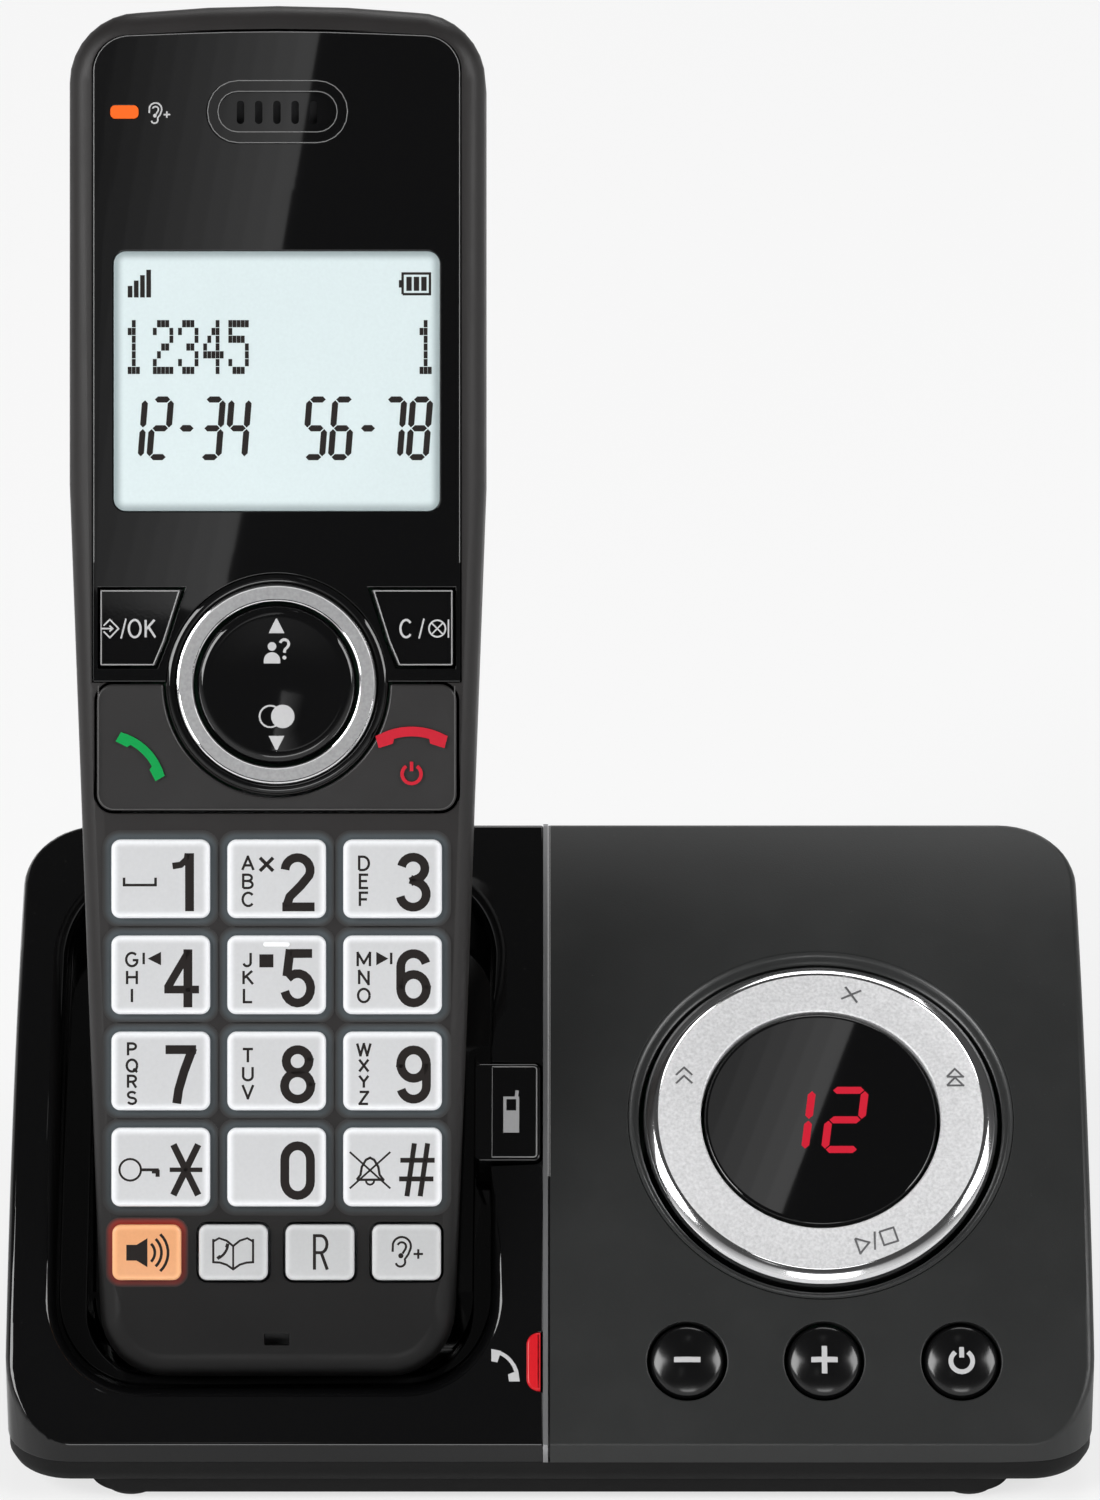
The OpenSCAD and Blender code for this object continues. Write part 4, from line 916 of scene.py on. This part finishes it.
nav = {
    "at": 83.8, "brightOutside": (10.4, 11.65), "markLow": 0.56, "markRise": 0.0062,
    "collar": [(12.3, -0.9), (12.3, 0.15), (12.6, 0.3), (13, 0.2), (13.25, 0.04), (13.28, -0.9)],
    "ring": [(9.95, -0.6), (9.96, 0.62), (10.04, 0.8), (10.16, 0.84), (10.28, 0.76), (11.72, 0.72), (11.84, 0.8),
             (12, 0.74), (12.13, 0.48), (12.18, 0.1), (12.18, -0.8), (9.95, -0.8)],
    "rocker": [(0, 0.55), (3, 0.6), (6, 0.78), (8, 1), (8.7, 1.05), (9.2, 0.9), (9.5, 0.55), (9.58, 0.1),
               (9.58, -2), (0, -2)],
}
navTurn = lifted(faceSheet(), 0, nav["at"])
finishPiece("navCollar", spunPart(nav["collar"], 96), navTurn, "blackGloss", "handset", 50)
navRing = finishPiece("navRing", spunPart(nav["ring"], 128), navTurn, "navSilver", "handset", 30,
                      ("nav_ring",))
brighten(navRing, navTurn, *nav["brightOutside"])
finishPiece("navRocker", spunPart(nav["rocker"], 96, False), navTurn, "blackGloss", "nav_key", 50,
            ("nav_key",))
navMarks = moved(upIcon, 0, 7.1, 0.95) + moved(upIcon, 0, -7.2, 0.95, 180)
navMarks += moved(personIcon, -0.55, 3.7, 1) + moved(askIcon, 0.95, 4.2, 1)
navMarks += [line(0.22, arcPoints(-0.75, -3.9, 1.3, 40, 320, 18)), dot(0.75, -3.9, 1.42)]
navMark = drawing("navMarks", navMarks, navTurn, "paleInk", "nav_key", 0.04)
raiseMarks(navMark, navTurn, lambda r: nav["markLow"] + nav["markRise"] * r * r)

for node, label in (("ok_key", "okKeyCap"), ("cancel_key", "cancelKeyCap")):
    easedCopy(label, node, "blackGloss", [(anyEdge, 0.2, 3)])
easedCopy("callPlate", "call_plate", "callGrey", [(anyEdge, 0.3, 3)])
print("handset shells dressed")

keys = {
    "columns": (-13.99, 0, 13.99), "rows": (60.3, 48.7, 37.1, 25.5), "functionRow": 15.2, "functionPitch": 10.45,
    "low": -0.6, "out": 0.9, "nib": (3.2, 0.55, 0.27, 0, 0.12, 0.08, 3), "nibUp": 3.7,
    "number": {"w": 11.9, "h": 9.5, "corner": 1.1, "ease": 0.42, "grow": 0.55, "spread": 0.85},
    "function": {"w": 8.3, "h": 6.7, "corner": 1, "ease": 0.4, "grow": 0.5, "spread": 0.6},
}
numberNames = [["key_1", "key_2", "key_3"], ["key_4", "key_5", "key_6"], ["key_7", "key_8", "key_9"],
               ["key_star", "key_0", "key_hash"]]
letterText = {"key_2": "ABC", "key_3": "DEF", "key_4": "GHI", "key_5": "JKL", "key_6": "MNO", "key_7": "PQRS",
              "key_8": "TUV", "key_9": "WXYZ"}
bold = 1.08
digitStrokes = {
    "0": [line(bold, arcPoints(0, 1.3, 1.55, 0, 180, 12, 1.7) + arcPoints(0, -1.3, 1.55, 180, 360, 12, 1.7), True)],
    "1": [line(bold, [(0.95, -3.5), (0.95, 3.5)]), line(0.8, [(-1.1, 1.95), (-0.1, 2.1), (0.6, 2.75), (0.75, 3.45)])],
    "2": [line(bold, arcPoints(0, 1.45, 1.52, 178, -25, 12) + [(0.4, -0.4), (-0.95, -1.75), (-1.35, -2.96)]),
          line(bold, [(-1.85, -2.98), (2.05, -2.98)])],
    "3": [line(bold, arcPoints(-0.05, 1.66, 1.42, 170, -62, 14, 1.36) + [(0, 0.2)]
               + arcPoints(-0.05, -1.46, 1.58, 68, -170, 16, 1.56))],
    "4": [line(0.95, [(0.9, 3.3), (-1.75, -1.2)]), line(0.95, [(-2.1, -1.35), (2.1, -1.35)]),
          line(bold, [(0.75, 3.5), (0.75, -3.5)])],
    "5": [line(bold, [(1.75, 3), (-0.95, 3)]), line(bold, [(-0.9, 3.5), (-1.3, 0.25)]),
          line(bold, arcPoints(0, -1.2, 1.58, 138, -168, 16, 1.78))],
    "6": [line(bold, arcPoints(0, -1.25, 1.55, 0, 360, 24, 1.72), True),
          line(bold, [(-1.55, -1.3)] + arcPoints(0, 1.4, 1.55, 180, 15, 12, 1.58))],
    "7": [line(bold, [(-1.95, 3), (1.75, 3)]), line(bold, [(1.35, 3.2), (0.3, 0.4), (-0.35, -1.8), (-0.6, -3.5)])],
    "8": [line(bold, arcPoints(0, 1.62, 1.38, 0, 360, 22, 1.38), True),
          line(bold, arcPoints(0, -1.38, 1.58, 0, 360, 24, 1.6), True)],
}


def bowl(cx, cy, rx, ry, start, stop, count=8):
    return arcPoints(cx, cy, rx, start, stop, count, ry)


# Letters one unit to each side of their middle
letterStrokes = {
    "A": [[(-0.72, -1), (0, 1), (0.72, -1)], [(-0.45, -0.3), (0.45, -0.3)]],
    "B": [[(-0.6, -1), (-0.6, 1)] + bowl(0, 0.53, 0.5, 0.47, 90, -90) + [(-0.6, 0.06)], [(0, 0.06)]
          + bowl(0.02, -0.48, 0.58, 0.52, 90, -90) + [(-0.6, -1)]],
    "C": [bowl(0.05, 0, 0.72, 1, 40, 320, 14)],
    "D": [[(-0.6, -1), (-0.6, 1)] + bowl(-0.1, 0, 0.75, 1, 90, -90, 12) + [(-0.6, -1)]],
    "E": [[(0.55, 1), (-0.5, 1), (-0.5, -1), (0.55, -1)], [(-0.5, 0.05), (0.42, 0.05)]],
    "F": [[(0.55, 1), (-0.5, 1), (-0.5, -1)], [(-0.5, 0), (0.4, 0)]],
    "G": [bowl(0, 0, 0.74, 1, 45, 330, 14) + [(0.68, -0.1), (0.1, -0.1)]],
    "H": [[(-0.62, -1), (-0.62, 1)], [(0.62, -1), (0.62, 1)], [(-0.62, 0.05), (0.62, 0.05)]],
    "I": [[(0, -1), (0, 1)]],
    "J": [[(0.35, 1), (0.35, -0.5)] + bowl(-0.1, -0.5, 0.45, 0.5, 0, -170, 7)],
    "K": [[(-0.55, -1), (-0.55, 1)], [(0.55, 1), (-0.55, -0.15)], [(-0.2, 0.2), (0.65, -1)]],
    "L": [[(-0.5, 1), (-0.5, -1), (0.55, -1)]],
    "M": [[(-0.78, -1), (-0.78, 1), (0, -0.55), (0.78, 1), (0.78, -1)]],
    "N": [[(-0.6, -1), (-0.6, 1), (0.6, -1), (0.6, 1)]],
    "O": [bowl(0, 0, 0.74, 1, 0, 360, 18)],
    "P": [[(-0.55, -1), (-0.55, 1)] + bowl(0.02, 0.5, 0.55, 0.5, 90, -90) + [(-0.55, 0)]],
    "Q": [bowl(0, 0, 0.74, 1, 0, 360, 18), [(0.2, -0.5), (0.75, -1.1)]],
    "R": [[(-0.55, -1), (-0.55, 1)] + bowl(0.02, 0.5, 0.55, 0.5, 90, -90) + [(-0.55, 0)], [(0.05, 0), (0.6, -1)]],
    "S": [bowl(0, 0.5, 0.56, 0.5, 25, 270, 9) + bowl(0, -0.5, 0.58, 0.5, 90, -160, 10)],
    "T": [[(-0.65, 1), (0.65, 1)], [(0, 1), (0, -1)]],
    "U": [[(-0.6, 1), (-0.6, -0.4)] + bowl(0, -0.4, 0.6, 0.6, 180, 360, 9) + [(0.6, 1)]],
    "V": [[(-0.68, 1), (0, -1), (0.68, 1)]],
    "W": [[(-0.95, 1), (-0.48, -1), (0, 0.9), (0.48, -1), (0.95, 1)]],
    "X": [[(-0.65, -1), (0.65, 1)], [(-0.65, 1), (0.65, -1)]],
    "Y": [[(-0.65, 1), (0, 0), (0.65, 1)], [(0, 0), (0, -1)]],
    "Z": [[(-0.6, 1), (0.6, 1), (-0.6, -1), (0.6, -1)]],
}


def word(text, x, y, size, width, spacing):  # a short legend from the same strokes
    return [line(width, [(x + i * spacing + px * size * 0.92, y + py * size) for px, py in run])
            for i, letter in enumerate(text) for run in letterStrokes[letter]]


figureAt = (2.55, -0.4)
lettering = {"x": -3.45, "wide": 1.18, "low": 0.3, "width": 0.3, "short": (2.17, 0.8), "long": (1.95, 0.72)}
bell = [(-1.6, -1.15), (-1.15, -0.55), (-1, 0.4), (-0.5, 1.25), (0, 1.5), (0.5, 1.25), (1, 0.4), (1.15, -0.55),
        (1.6, -1.15)]
mutedBell = [line(0.3, bell, True), line(0.25, arcPoints(0, -1.25, 0.5, 180, 360, 6)),
             line(0.24, [(-2.45, 2.2), (2.45, -2.2)]), line(0.24, [(-2.45, -2.2), (2.45, 2.2)])]
signStrokes = {
    "key_1": [line(0.32, [(-4.4, 0.15), (-4.4, -0.75), (-0.6, -0.75), (-0.6, 0.15)])],
    "key_2": [line(0.43, [(-2, 0.95), (-0.4, 2.55)]), line(0.43, [(-2, 2.55), (-0.4, 0.95)])],
    "key_4": [fill([(0.06, 2.8), (0.06, 1.17), (-1.56, 1.98)]), line(0.3, [(-2.03, 1.3), (-2.03, 2.7)])],
    "key_5": [box(-2.07, 0.92, -0.37, 2.5)],
    "key_6": [fill([(-1.95, 2.8), (-1.95, 1.17), (-0.5, 1.98)]), line(0.3, [(-0.15, 1.3), (-0.15, 2.7)])],
    "key_star": [
        line(0.82, [(1.55, 2.75), (4.55, -3.35)]), line(0.82, [(4.55, 2.75), (1.55, -3.35)]),
        line(0.55, [(1.1, -0.3), (5.05, -0.3)]), line(0.27, arcPoints(-3.66, -0.3, 1.3, 0, 360, 24), True),
        line(0.36, [(-2.3, -0.3), (-0.2, -0.3)]),
        fill([(-1.05, -0.3), (-0.1, -0.3), (-0.1, -1.15), (-0.6, -1.15), (-0.6, -0.75), (-1.05, -0.75)])],
    "key_hash": [
        line(0.62, [(1.75, -3.5), (2.65, 2.9)]), line(0.62, [(3.35, -3.5), (4.25, 2.9)]),
        line(0.6, [(0.95, 0.85), (5.1, 0.85)]), line(0.6, [(0.8, -1.4), (4.95, -1.4)])]
        + moved(mutedBell, -2.7, -0.35),
}


def keyMarks(node):
    strokes = []
    if node[-1].isdigit():
        turned = node[-1] == "9"
        figure = moved(digitStrokes["6"], 0, 0, 1, 180) if turned else digitStrokes[node[-1]]
        strokes += moved(figure, *figureAt)
    letters = letterText.get(node, "")
    step, size = lettering["short"] if len(letters) < 4 else lettering["long"]
    for i, letter in enumerate(letters):
        top = (len(letters) - 1) * step / 2 - i * step - lettering["low"]
        for run in letterStrokes[letter]:
            points = [(lettering["x"] + x * size * lettering["wide"], top + y * size) for x, y in run]
            strokes.append(line(lettering["width"], points))
    return strokes + signStrokes.get(node, [])


def addHalo(bm, size, cx, cy):
    w, h, corner, spread = size["w"] + size["grow"], size["h"] + size["grow"], size["corner"] + 0.2, size["spread"]
    plate = roundedPlate(w + 2 * spread, h + 2 * spread, corner + spread, -0.02, 0.04)
    top = max(plate.faces, key=lambda f: f.calc_center_median().z)
    ops.inset_region(plate, faces=[top], thickness=spread * mm, depth=0)
    ops.delete(plate, geom=[top], context="FACES_ONLY")
    layUV(plate)
    ops.translate(plate, verts=plate.verts, vec=(cx * mm, cy * mm, 0))
    mesh = bpy.data.meshes.new("halo")
    plate.to_mesh(mesh)
    plate.free()
    bm.from_mesh(mesh)


def addKey(node, size, cx, cy, tone, marks):
    place = lifted(faceSheet(), cx, cy)
    cap = roundedPlate(size["w"], size["h"], size["corner"], keys["low"], keys["out"], size["ease"], 5)
    layUV(cap)
    finishPiece(titled("cap", node), cap, place, tone, bodyOf(node), 60, (node,))
    drawing(titled("marks", node), marks, lifted(place, 0, 0, keys["out"]), "keyInk", bodyOf(node), 0.012)


halo = bmesh.new()
for cy, row in zip(keys["rows"], numberNames):
    for cx, node in zip(keys["columns"], row):
        addKey(node, keys["number"], cx, cy, "keyWhite", keyMarks(node))
        addHalo(halo, keys["number"], cx, cy)
finishPiece("keyHalos", halo, faceSheet(), "keyHalo", "handset", 30)
nibPlace = lifted(faceSheet(keys["out"]), 0, keys["rows"][1] + keys["nibUp"])
finishPiece("middleKeyNib", roundedPlate(*keys["nib"]), nibPlace, "nibWhite", "key_5", 60)

functionIcons = {
    "speaker_key": [fill([(-2.44, 0.95), (-1.2, 0.95), (0.1, 1.75), (0.1, -1.75), (-1.2, -0.95), (-2.44, -0.95)])]
    + [line(0.34, arcPoints(-0.5, 0, r, -46, 46, 9)) for r in (1.5, 2.3, 3.1)],
    "book_key": [line(0.27, [(-2.4, 1.65), (-2.4, -1.15), (-1.6, -1.2), (-0.8, -1.45), (0, -2), (0.8, -1.45),
                             (1.6, -1.2), (2.4, -1.15), (2.4, 1.65)]),
                 line(0.27, [(-2.4, 1.35), (-1.7, 1.75), (-0.8, 1.45), (0, 0.8), (0.8, 1.45), (1.7, 1.75),
                             (2.4, 1.35)]), line(0.24, [(0, 0.8), (0, -1.9)])]
                 + moved(phoneIcon, -1.15, 0.1, 0.26, 55 + 180),
    "recall_key": [line(0.38, [(x * 1.35 + 0.1, y * 2.05) for x, y in run]) for run in letterStrokes["R"]],
    "boost_key": moved(earIcon, -0.35, 0, 1.05),
}
warm = bmesh.new()
for i, (node, icon) in enumerate(functionIcons.items()):
    cx, cy = (i - 1.5) * keys["functionPitch"], keys["functionRow"]
    tone, capSlot = ("keyOrange", "key_orange") if i == 0 else ("keyGrey", "key_grey")
    addKey(node, keys["function"], cx, cy, tone, icon)
    if i == 0:
        addHalo(warm, keys["function"], cx, cy)
finishPiece("warmHalo", warm, faceSheet(), "orangeHalo", "handset", 30)

callMarks = {"callMark": (moved(phoneIcon, -16.2, 75.3, 0.84, -45), "greenInk"),
             "endMark": (moved(phoneIcon, 16.3, 77.4, 0.98) + moved(powerIcon, 16.3, 73.1, 1), "redInk")}
for name, (strokes, inkName) in callMarks.items():
    drawing(name, strokes, faceSheet(0.9), inkName, "call_plate")
okMark = word("OK", -17.1, 90.5, 1.05, 0.27, 1.85) + [line(0.2, [(-18.75, 89.3), (-18.15, 91.7)])]
okMark += [line(0.18, [(-20.85, 90.85), (-20.1, 91.6), (-19.05, 90.5), (-20.1, 89.4), (-20.85, 90.15)]),
           line(0.2, [(-21.15, 90.5), (-19.8, 90.5)]), line(0.18, [(-20.15, 90.85), (-19.75, 90.5), (-20.15, 90.15)])]
# painted highlights along the soft keys' edges
softEdge = [(21.15, 86.15), (14.85, 86.15), (13.65, 89), (11.75, 95.05), (21.15, 95.05)]
for side, node, label in ((-1, "ok_key", "okKeyEdge"), (1, "cancel_key", "cancelKeyEdge")):
    drawing(label, [line(0.16, [(side * x, y) for x, y in softEdge], True)], faceSheet(0.9), "paintedEdgeHighlight", node)
# painted highlight along the call plate's border
plate = {"half": 21.5, "top": 83.6, "low": 68.7, "up": 70.7, "corner": 1.9}
right, low = plate["half"] - plate["corner"], plate["low"] + plate["corner"]
plateEdge = [(-plate["half"], plate["top"]), (-plate["half"], plate["up"])]
plateEdge += arcPoints(-right, low, plate["corner"], 180, 270, 6)
plateEdge += arcPoints(right, low, plate["corner"], 270, 360, 6)
plateEdge.append((plate["half"], plate["top"]))
drawing("callPlateEdge", [line(0.12, plateEdge)], faceSheet(0.88), "paintedDimHighlight", "call_plate")
drawing("okMark", okMark, faceSheet(0.93), "paleInk", "ok_key", 0.02)
cancelMark = word("C", 15.6, 90.5, 1.05, 0.27, 1.9)
cancelMark += [line(0.2, [(17.2, 89.3), (17.8, 91.7)]), line(0.2, arcPoints(19.4, 90.5, 1, 0, 360, 20), True)]
cancelMark += [line(0.17, [(18.75, 89.85), (20.05, 91.15)]), line(0.17, [(18.75, 91.15), (20.05, 89.85)]),
               line(0.17, [(20.75, 89.4), (20.75, 91.6)])]
drawing("cancelMark", cancelMark, faceSheet(0.93), "paleInk", "cancel_key", 0.02)
print("keys dressed")

studio = {
    "floor": (0.86, 0.86, 0.86, 1), "floorDown": -0.0002, "floorRoughness": 0.7, "floorSpecular": 0.2,
    "floorSeen": 0.72, "sky": (0.02, 0.42, 0.75, 0.07),  # the strength falls from the horizon up
    "lookAt": (0, 0, 0.06),
}
floorMesh = bmesh.new()
ops.create_grid(floorMesh, x_segments=1, y_segments=1, size=4)
floorData = bpy.data.meshes.new("floor")
floorMesh.to_mesh(floorData)
floorMesh.free()
floor = newObject("floor", floorData)
floor.location = (0, 0, studio["floorDown"])
floorMat, tree, shader = newMaterial("paleFloor")
shader.inputs["Base Color"].default_value = studio["floor"]
shader.inputs["Roughness"].default_value = studio["floorRoughness"]
shader.inputs["Specular IOR Level"].default_value = studio["floorSpecular"]
glow = addNode(tree, "ShaderNodeEmission")
mix = addNode(tree, "ShaderNodeMixShader")
seen = mathNode(tree, "MULTIPLY", addNode(tree, "ShaderNodeLightPath").outputs["Is Camera Ray"], studio["floorSeen"])
for value, socket in ((seen, mix.inputs[0]), (shader.outputs[0], mix.inputs[1]), (glow.outputs[0], mix.inputs[2]),
                      (mix.outputs[0], tree.nodes["Material Output"].inputs["Surface"])):
    tree.links.new(value, socket)
floorData.materials.append(floorMat)

world = bpy.data.worlds.new("studio")
bpy.context.scene.world = world
world.use_nodes = True
tree = world.node_tree
back = tree.nodes["Background"]
back.inputs["Color"].default_value = (1, 1, 1, 1)
split = addNode(tree, "ShaderNodeSeparateXYZ")
tree.links.new(addNode(tree, "ShaderNodeTexCoord").outputs["Generated"], split.inputs[0])
sky = mapRange(tree, split.outputs["Z"], studio["sky"])
direct = addNode(tree, "ShaderNodeLightPath").outputs["Is Camera Ray"]
tree.links.new(mathNode(tree, "MAXIMUM", direct, sky), back.inputs["Strength"])


def areaLight(name, label, shape, size, energy):
    data = bpy.data.lights.new(name, "AREA")
    data.shape = shape
    data.size, data.size_y = size
    data.energy = energy
    obj = newObject(label, data)
    obj.visible_camera = False
    return obj


lamps = {
    "leftSoft": {"at": (-1.25, -0.75, 1.05), "size": 0.9, "power": 23},
    "rightSoft": {"at": (1.3, -0.55, 0.95), "size": 0.8, "power": 15},
    "lowFront": {"at": (0.1, -1.6, 0.08), "size": 0.6, "power": 4.5},
    "backTop": {"at": (0.2, 1.1, 1.2), "size": 0.8, "power": 7},
}
for name, lamp in lamps.items():
    obj = areaLight(name, name, "SQUARE", (lamp["size"], lamp["size"]), lamp["power"])
    obj.location = lamp["at"]
    obj.rotation_euler = (Vector(studio["lookAt"]) - Vector(lamp["at"])).to_track_quat("-Z", "Y").to_euler()

view = {"lens": 178.85, "sensor": 36, "up": 0.07585, "right": 0.033, "far": 0.9}
lean = radians(layout["lean"])
faceNormal = Vector((0, -cos(lean), sin(lean)))
faceUp = Vector((0, sin(lean), cos(lean)))
middle = faceSheet(0).translation + faceUp * view["up"] + Vector((view["right"], 0, 0))
cameraSpot = middle + faceNormal * view["far"]

# Faint cards give the gloss its slanted sheen. Each set is mirrored to the camera by one flat surface,
# strongest at its slanted edge and fading to the left.
fadePower = 1.25
cards = {
    "panelCard": {"sheet": faceSheet(), "from": (6.1, 168), "to": (-6.6, 92), "far": 0.8, "strip": 0.0045,
                  "strips": 12, "edge": 1},
    "lensCard": {"sheet": ringSheet(lens["face"]), "from": (5.6, 16.5), "to": (-6.1, -16), "far": 0.5,
                 "strip": 0.0035, "strips": 10, "edge": 1.25},
}
for name, card in cards.items():
    normal = (card["sheet"].to_3x3() @ Vector((0, 0, 1))).normalized()
    mirrored = cameraSpot - normal * 2 * (cameraSpot - card["sheet"].translation).dot(normal)
    ends = []
    for x, y in (card["from"], card["to"]):
        spot = card["sheet"] @ Vector((x * mm, y * mm, 0))
        ends.append(spot + (spot - mirrored).normalized() * card["far"])
    centre, length = (ends[0] + ends[1]) / 2, (ends[0] - ends[1]).length
    up = (ends[0] - ends[1]).normalized()
    across = up.cross((centre - mirrored).normalized()).normalized()
    turn = Matrix((across, up, across.cross(up))).transposed().to_4x4()
    for i in range(card["strips"]):  # brightest beside the sheen's sharp edge
        strength = card["edge"] * (1 - i / card["strips"]) ** fadePower
        obj = areaLight(name, name + str(i), "RECTANGLE", (card["strip"], length),
                        strength * pi * card["strip"] * length)
        shift = across * (card["strip"] * (i + 0.5)) * (1 if across.x < 0 else -1)
        obj.matrix_world = Matrix.Translation(centre + shift) @ turn

camera = bpy.data.cameras.new("camera")
camera.lens = view["lens"]
camera.sensor_width = view["sensor"]
camera.sensor_fit = "AUTO"
camera.clip_start = 0.05
cameraObj = newObject("camera", camera)
cameraObj.location = cameraSpot
cameraObj.rotation_euler = (-faceNormal).to_track_quat("-Z", "Y").to_euler()
bpy.context.scene.camera = cameraObj
bpy.context.scene.view_settings.view_transform = "Standard"
print("camera at", [round(v, 4) for v in cameraObj.location])
